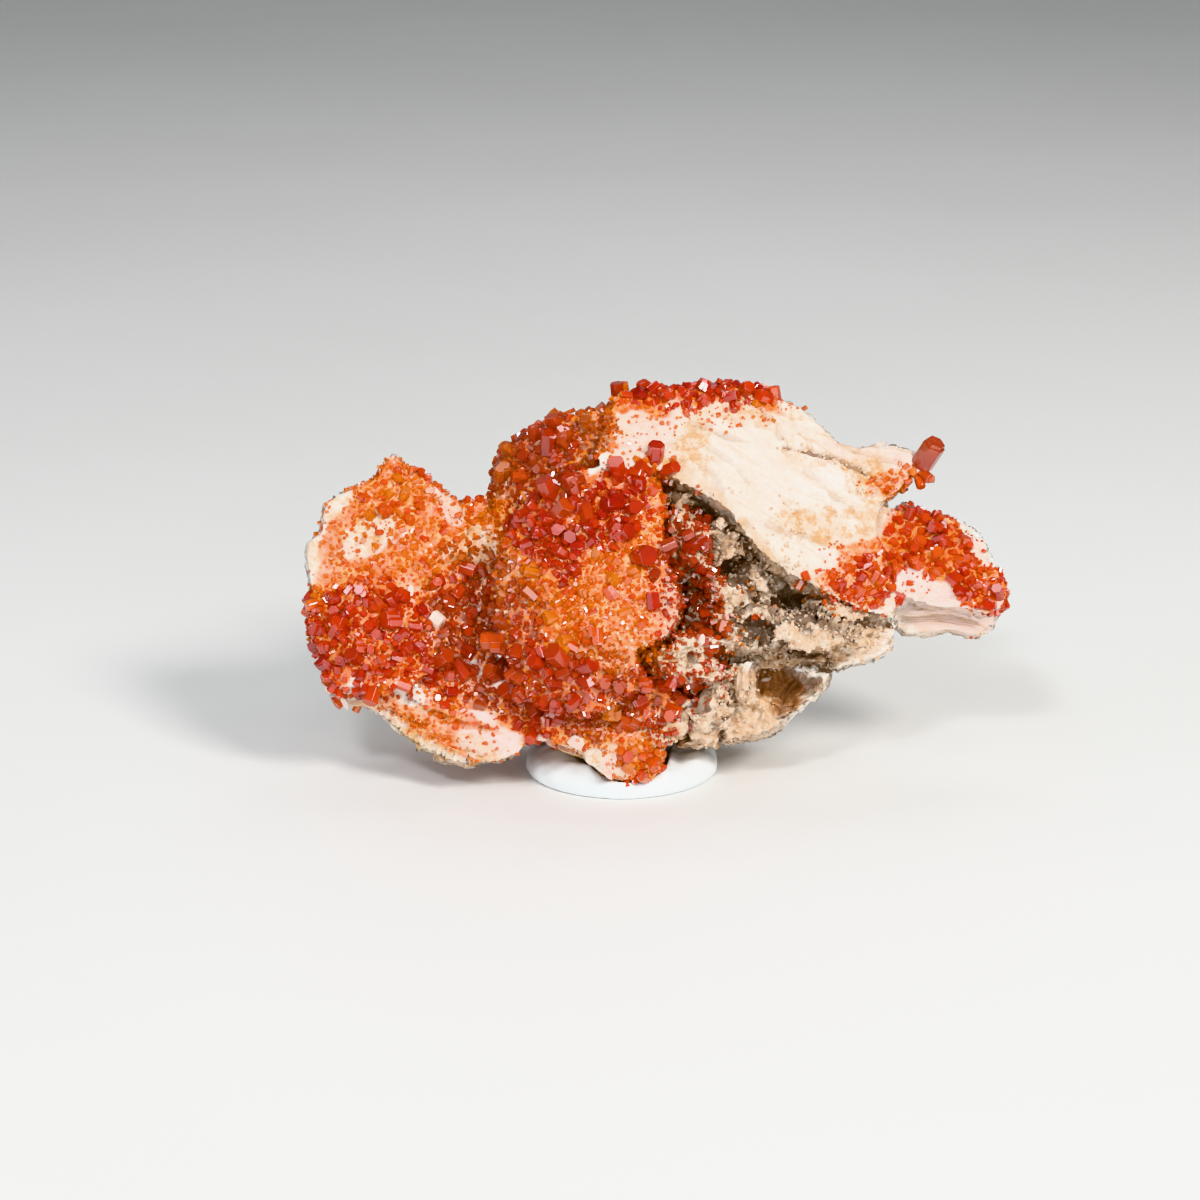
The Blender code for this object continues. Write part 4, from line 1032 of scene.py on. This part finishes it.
def barite_material():
    n = Nodes("barite")
    ochre, druse, pink = n.tint()
    soil, hollow_shade, crack = n.tint("soil")
    wall, brown, layered = n.tint("form")
    leaf, shade_between_red, _ = n.tint("leaf")
    grain = n.noise(1600, 4)
    silk = n.noise(1.0, 5, 0.6, n.streaks(0.8 * MM, 7 * MM))
    hairs = n.noise(1.0, 3, 0.6, n.streaks(0.25 * MM, 4 * MM))
    layer = n.stripes(n.height_along(LAYERS), 0.32 * MM, n.noise(260, 4), 2.2 * MM)
    book = n.stripes(leaf, 0.30, n.noise(400, 3), 0.8)

    # White to cream stone with pink parts (on the lower left shell the pink is painted shade under the
    # overhang), silky fibres and brown seams between its layers.
    stone = n.ramp(n.noise(140, 5), (0.32, (0.80, 0.69, 0.57)), (0.48, (0.85, 0.77, 0.69)),
                   (0.62, (0.88, 0.83, 0.79)))
    stone = n.mix(n.times(pink, 0.7), stone, (0.86, 0.63, 0.56))
    stone = n.mix(n.times(n.grey(silk, 0.48, 0.66), 0.5), stone, (0.74, 0.58, 0.43))
    stone = n.mix(n.times(n.grey(hairs, 0.57, 0.70), 0.45), stone, (0.60, 0.42, 0.27))
    seams = n.times(n.times(wall, n.grey(layer, 0.50, 0.66)), 0.8)
    seams = n.plus(seams, n.times(n.times(layered, n.grey(book, 0.50, 0.64)), 0.55), clamp=True)
    stone = n.mix(seams, stone, n.ramp(grain, (0.3, (0.40, 0.20, 0.09)), (0.7, (0.66, 0.44, 0.26))))

    # Ochre veils and patches, and dark cracks.
    rust = n.ramp(grain, (0.3, (0.36, 0.15, 0.04)), (0.55, (0.66, 0.34, 0.10)), (0.8, (0.82, 0.54, 0.25)))
    veiled = n.times(ochre, n.grey(n.noise(260, 4), 0.30, 0.70))
    stone = n.mix(n.times(veiled, 0.55), stone, (0.82, 0.54, 0.28))
    patchy = n.grey(n.plus(n.noise(950, 5, 0.75), n.times(ochre, 0.14)), 0.57, 0.70)
    stone = n.mix(n.times(n.times(ochre, patchy), 0.9), stone, rust)
    stone = n.mix(n.times(crack, 0.9), stone, (0.20, 0.085, 0.025))

    # Orange druse, browner in places (on the ridge at the top left that brown is painted shade), deep
    # red-brown painted shade between close red crystals, with specks at its borders.
    under = n.ramp(n.noise(700, 4), (0.35, (0.62, 0.12, 0.008)), (0.48, (0.86, 0.25, 0.02)),
                   (0.60, (0.94, 0.42, 0.075)), (0.74, (0.90, 0.66, 0.42)))
    under = n.mix(brown, under, n.ramp(grain, (0.3, (0.24, 0.07, 0.02)), (0.7, (0.52, 0.26, 0.12))))
    under = n.mix(n.times(shade_between_red, 0.75), under, (0.42, 0.055, 0.012))
    cover = n.grey(n.plus(druse, n.times(n.noise(380, 4), 0.5)), 0.45, 0.95)
    stone = n.mix(n.times(cover, 0.92), stone, under)
    specks = n.cells(2300)
    speckled = n.grey(n.plus(druse, n.times(n.noise(600, 3), 0.6)), 0.62, 0.95)
    speckled = n.times(n.grey(specks, 0.62, 0.30), speckled)
    orange = n.ramp(n.noise(1200, 2), (0.3, (0.68, 0.09, 0.004)), (0.7, (0.92, 0.28, 0.01)))
    stone = n.mix(speckled, stone, orange)

    # Rusty earth, and painted shade inside the hollow, orange-brown and striped along its layers.
    earth, _ = earth_colour(n, brown)
    earth = n.mix(n.times(n.grey(n.noise(520, 4), 0.40, 0.62), 0.5), earth, (0.60, 0.32, 0.13))
    stone = n.mix(soil, stone, earth)
    hollow = n.ramp(book, (0.4, (0.24, 0.085, 0.022)), (0.62, (0.58, 0.28, 0.10)))
    n.colour(n.mix(n.times(hollow_shade, 0.9), stone, hollow))

    bumps = n.bump(grain, 0.5, 0.12 * MM)
    for height, strength, distance in (
        (silk, 0.5, 0.25), (hairs, 0.4, 0.10), (n.times(book, layered), 0.9, 0.5),
        (n.times(layer, wall), 0.9, 0.5), (specks, 0.45, 0.12),
    ):
        bumps = n.bump(height, strength, distance * MM, bumps)
    n.join(bumps, n.shader.inputs["Normal"])
    rough = n.ramp(grain, (0.2, (0.34,) * 3), (0.8, (0.60,) * 3))
    n.roughness(n.mix(n.times(cover, 0.8), rough, (0.16,) * 3))
    n.set(IOR=1.64, Subsurface_Weight=0.35, Subsurface_Radius=(1.0, 0.72, 0.5), Subsurface_Scale=0.7 * MM)
    return n.material


def limonite_material():
    n = Nodes("limonite")
    pits, rusty, grains = n.tint()
    earth, crumb = earth_colour(n, grains)
    earth = n.mix(n.times(rusty, 0.25), earth, (0.56, 0.26, 0.08))
    # Painted shade in the pits, and in some darker patches besides.
    n.colour(n.mix(n.times(pits, 0.75), earth, (0.11, 0.055, 0.030)))
    bumps = n.bump(crumb, 0.8, 0.22 * MM)
    n.join(n.bump(n.cells(1900), 0.7, 0.18 * MM, bumps), n.shader.inputs["Normal"])
    n.set(Roughness=0.92, IOR=1.5)
    return n.material


def putty_material():
    n = Nodes("putty")
    broad, fine = n.noise(300, 4), n.noise(2400, 3)
    n.colour(n.ramp(broad, (0.3, (0.74, 0.79, 0.80)), (0.7, (0.84, 0.88, 0.89))))
    bumps = n.bump(fine, 0.25, 0.06 * MM)
    n.join(n.bump(broad, 0.4, 0.3 * MM, bumps), n.shader.inputs["Normal"])
    n.roughness(n.ramp(fine, (0.3, (0.55,) * 3), (0.7, (0.75,) * 3)))
    n.set(IOR=1.48, Subsurface_Weight=0.2, Subsurface_Radius=(1.0, 1.0, 1.0), Subsurface_Scale=0.6 * MM)
    return n.material


def floor_material():
    n = Nodes("pale_floor")
    n.colour(n.ramp(n.noise(6, 3), (0.3, (0.76, 0.76, 0.74)), (0.7, (0.80, 0.80, 0.785))))
    n.set(Roughness=0.6)
    return n.material


def dress(obj, material, smooth):
    obj.data.materials.append(material)
    for poly in obj.data.polygons:
        poly.use_smooth = smooth
    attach(obj, "root")


def earth_grains(stone):
    """Sugary grains on the earthy stone, and ochre grains on the barite."""
    chance = np.random.default_rng(31)
    grains = Growth("limonite_grains")
    points, normals = surface_samples(stone, 60000, 15)
    facing = ramp(-(normals @ AHEAD) + 0.35 * normals[:, 2], -0.3, 0.1)
    clusters = 0.35 + 0.65 * ramp(fractal_at(points, 1.5 * MM, 2, 69), -0.3, 0.3)
    wanted = field(points, GRAIN_SPOTS, 0.5, 68) * facing * clusters
    in_crack = 0.8 * facing * along(points, CRACK_LINE, 9, 0.6)
    wanted = np.maximum(wanted, in_crack) * (points[:, 2] > LOWEST_CRYSTAL)
    wanted *= 1 - field(points, CLEAN_SPOTS, 0.15, 74)
    # On the plate they stand in close patches.
    on_plate = field(points, PLATE_SPOTS, 0.1, 71)
    patches = 1.8 * ramp(fractal_at(points, 1.6 * MM, 2, 73), -0.15, 0.15) * (wanted > 0.25)
    wanted *= 1 - on_plate * (1 - patches)
    kept = wanted > chance.random(len(points))
    points, normals = points[kept], normals[kept]
    axes = leaned(normals, 1.5, chance)
    radius = chance.uniform(0.07, 0.2, len(points)) * MM
    standing = Standing([], 0.2 * MM, 0.8)
    for place, axis, size in zip(points, axes, radius):
        if standing.free(tuple(place), size):
            standing.add(tuple(place), size)
            grains.add("grain", place, axis, chance.uniform(0, 3), size, size * chance.uniform(1.0, 2.2),
                       0.5 * size, 0.25 * (chance.random() < 0.2), chance.uniform(0, 1),
                       chance.uniform(0.7, 1.3))
    return grains.build()


# Chips of barite among the crystals: pixel, radius and length in millimetres.
BARITE_CHIPS = [
    ((436, 621), 1.15, 1.1), ((409, 592), 0.6, 0.8), ((552, 741), 0.8, 1.6), ((566, 748), 0.6, 1.5),
    ((577, 741), 0.7, 1.3), ((541, 733), 0.6, 1.4), ((763, 680), 0.5, 1.0), ((498, 684), 0.7, 0.8),
    ((606, 770), 0.9, 1.0), ((345, 700), 0.8, 0.9), ((332, 690), 0.6, 0.8), ((520, 560), 0.5, 0.6),
    ((690, 622), 0.6, 0.9), ((700, 640), 0.5, 0.9), ((672, 640), 0.6, 0.8),
]


def barite_chips(stone_tree):
    chance = np.random.default_rng(21)
    chips = Growth("barite_chips")
    for pixel, radius, length in BARITE_CHIPS:
        place, normal, _, _ = stone_tree.ray_cast(Vector(EYE), Vector(sight(*pixel)))
        if place is None:
            continue
        axis = near(normal, 0.9, chance)
        chips.add("flat", place, axis, chance.uniform(0, 3), radius * MM, length * MM, 0.45 * length * MM,
                  chance.uniform(0, 0.4), 0.0, chance.uniform(0.3, 0.6))
    return chips.build()


def make_specimen():
    """Every piece of the object: the stone, the putty, and what grew on the stone."""
    barite, limonite = barite_material(), limonite_material()
    stone = []
    for node, voxel, terrace, earth_spots, hollow_shade_spots in (
        ("barite_blades", 0.29 * MM, 0.55 * MM, EARTH_SPOTS, []),
        ("barite_hollow_shell", 0.2 * MM, 0.4 * MM, SHELL_EARTH_SPOTS, SHELL_SHADE_SPOTS),
        ("barite_rim_blade", 0.2 * MM, 0.4 * MM, [], []),
        ("barite_back_blades", 0.40 * MM, 0.6 * MM, [], []),
    ):
        obj = remeshed(node, node + "_surface", voxel, 2)
        shape_barite(obj, terrace, earth_spots, hollow_shade_spots, node == "barite_rim_blade")
        dress(obj, barite, True)
        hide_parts(node)
        stone.append(obj)
    earth = remeshed("limonite_matrix", "limonite_surface", 0.25 * MM, 1)
    shape_limonite(earth)
    dress(earth, limonite, True)
    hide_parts("limonite_matrix")
    stone.append(earth)
    stone_tree = tree_of(stone)
    putty = remeshed("mounting_putty", "putty_surface", 0.3 * MM, 20)
    shape_putty(putty, stone_tree)
    dress(putty, putty_material(), True)
    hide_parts("mounting_putty")

    solid = [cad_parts[k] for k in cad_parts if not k.startswith("vanadinite")]
    dress(barite_chips(stone_tree), barite, False)
    dress(earth_grains(stone), limonite, False)
    crystals = grow_crystals(stone, tree_of(solid), stone_tree)
    vanadinite = vanadinite_material()
    for obj in crystals:
        dress(obj, vanadinite, False)
    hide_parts(*[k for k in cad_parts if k.startswith("vanadinite")])


def area_light(name, place, target, size, power, colour):
    lamp = bpy.data.lights.new(name, "AREA")
    lamp.shape = "RECTANGLE"
    lamp.size, lamp.size_y = size
    lamp.energy = power
    lamp.color = colour
    obj = bpy.data.objects.new(name, lamp)
    obj.location = place
    obj.rotation_euler = (Vector(target) - Vector(place)).to_track_quat("-Z", "Y").to_euler()
    bpy.context.scene.collection.objects.link(obj)


# Small lamps that give the crystals their glints: turn from the viewer to the right and height, in degrees.
GLINT_LIGHTS = [
    (-70, 30), (-35, 50), (-20, 12), (0, 35), (12, 62), (25, 22), (60, 15), (75, 45), (150, 50), (-140, 45),
    (-50, 8), (45, -8),
]
GLINT_DISTANCE = 0.5
MIDDLE = (0, 0, 0.018)
BEHIND_THE_FLOOR = (0, 1.10, 0.55)
# The other lamps: place, target, width and height, power in watts and colour.
LAMPS = {
    "key": ((0.25, -0.31, 0.31), MIDDLE, (0.13, 0.11), 2.0, (1.0, 0.97, 0.93)),
    "window": ((-0.10, -0.34, 0.30), MIDDLE, (0.07, 0.05), 0.8, (0.93, 0.96, 1.0)),
    "fill": ((-0.42, -0.20, 0.16), MIDDLE, (0.30, 0.25), 0.26, (0.90, 0.93, 1.0)),
    "front": ((0.05, -0.50, 0.07), MIDDLE, (0.30, 0.20), 0.66, (1.0, 0.98, 0.96)),
    "backdrop": ((0.0, 0.30, 0.95), BEHIND_THE_FLOOR, (0.9, 0.3), 2.2, (0.96, 0.98, 1.0)),
    "top": ((0.05, 0.18, 0.48), MIDDLE, (0.35, 0.25), 0.42, (1.0, 0.98, 0.96)),
}


def make_floor():
    """A floor that bends up into a backdrop."""
    near, far, wide, rise, bend = -5.0, 0.75, 5.0, 1.1, 0.35
    profile = [(near, 0.0), (far, 0.0)]
    for a in np.linspace(0.1, math.pi / 2, 16):
        profile.append((far + bend * math.sin(a), bend * (1 - math.cos(a))))
    profile.append((far + bend, rise))
    points = [(x, y, z) for y, z in profile for x in (-wide, wide)]
    faces = [(2 * k, 2 * k + 1, 2 * k + 3, 2 * k + 2) for k in range(len(profile) - 1)]
    mesh = bpy.data.meshes.new("floor")
    mesh.from_pydata(points, [], faces)
    mesh.materials.append(floor_material())
    for poly in mesh.polygons:
        poly.use_smooth = True
    floor = bpy.data.objects.new("floor", mesh)
    bpy.context.scene.collection.objects.link(floor)


def make_lights():
    world = bpy.data.worlds.new("world")
    world.use_nodes = True
    sky = world.node_tree.nodes["Background"].inputs
    sky["Color"].default_value = (0.62, 0.66, 0.72, 1)
    sky["Strength"].default_value = 0.16
    bpy.context.scene.world = world
    for k, (turn, height) in enumerate(GLINT_LIGHTS):
        turn, height = math.radians(turn), math.radians(height)
        out = GLINT_DISTANCE * math.cos(height)
        place = (out * math.sin(turn), -out * math.cos(turn), GLINT_DISTANCE * math.sin(height) + MIDDLE[2])
        area_light(f"glint_{k}", place, MIDDLE, (0.08, 0.06), 0.11, (0.95, 0.97, 1.0))
    for name, (place, target, size, power, colour) in LAMPS.items():
        area_light(name, place, target, size, power, colour)


def make_camera():
    lens = bpy.data.cameras.new("camera")
    lens.sensor_width = SENSOR_MM
    lens.lens = FOCAL_PX * SENSOR_MM / IMAGE_PX
    lens.clip_start = 0.01
    camera = bpy.data.objects.new("camera", lens)
    camera.location = EYE.tolist()
    camera.rotation_euler = (math.pi / 2 - VIEW_PITCH, 0, 0)
    bpy.context.scene.collection.objects.link(camera)
    bpy.context.scene.camera = camera


# True colours with soft highlights, as in the photograph.
bpy.context.scene.view_settings.view_transform = "Khronos PBR Neutral"
make_specimen()
make_floor()
make_lights()
make_camera()
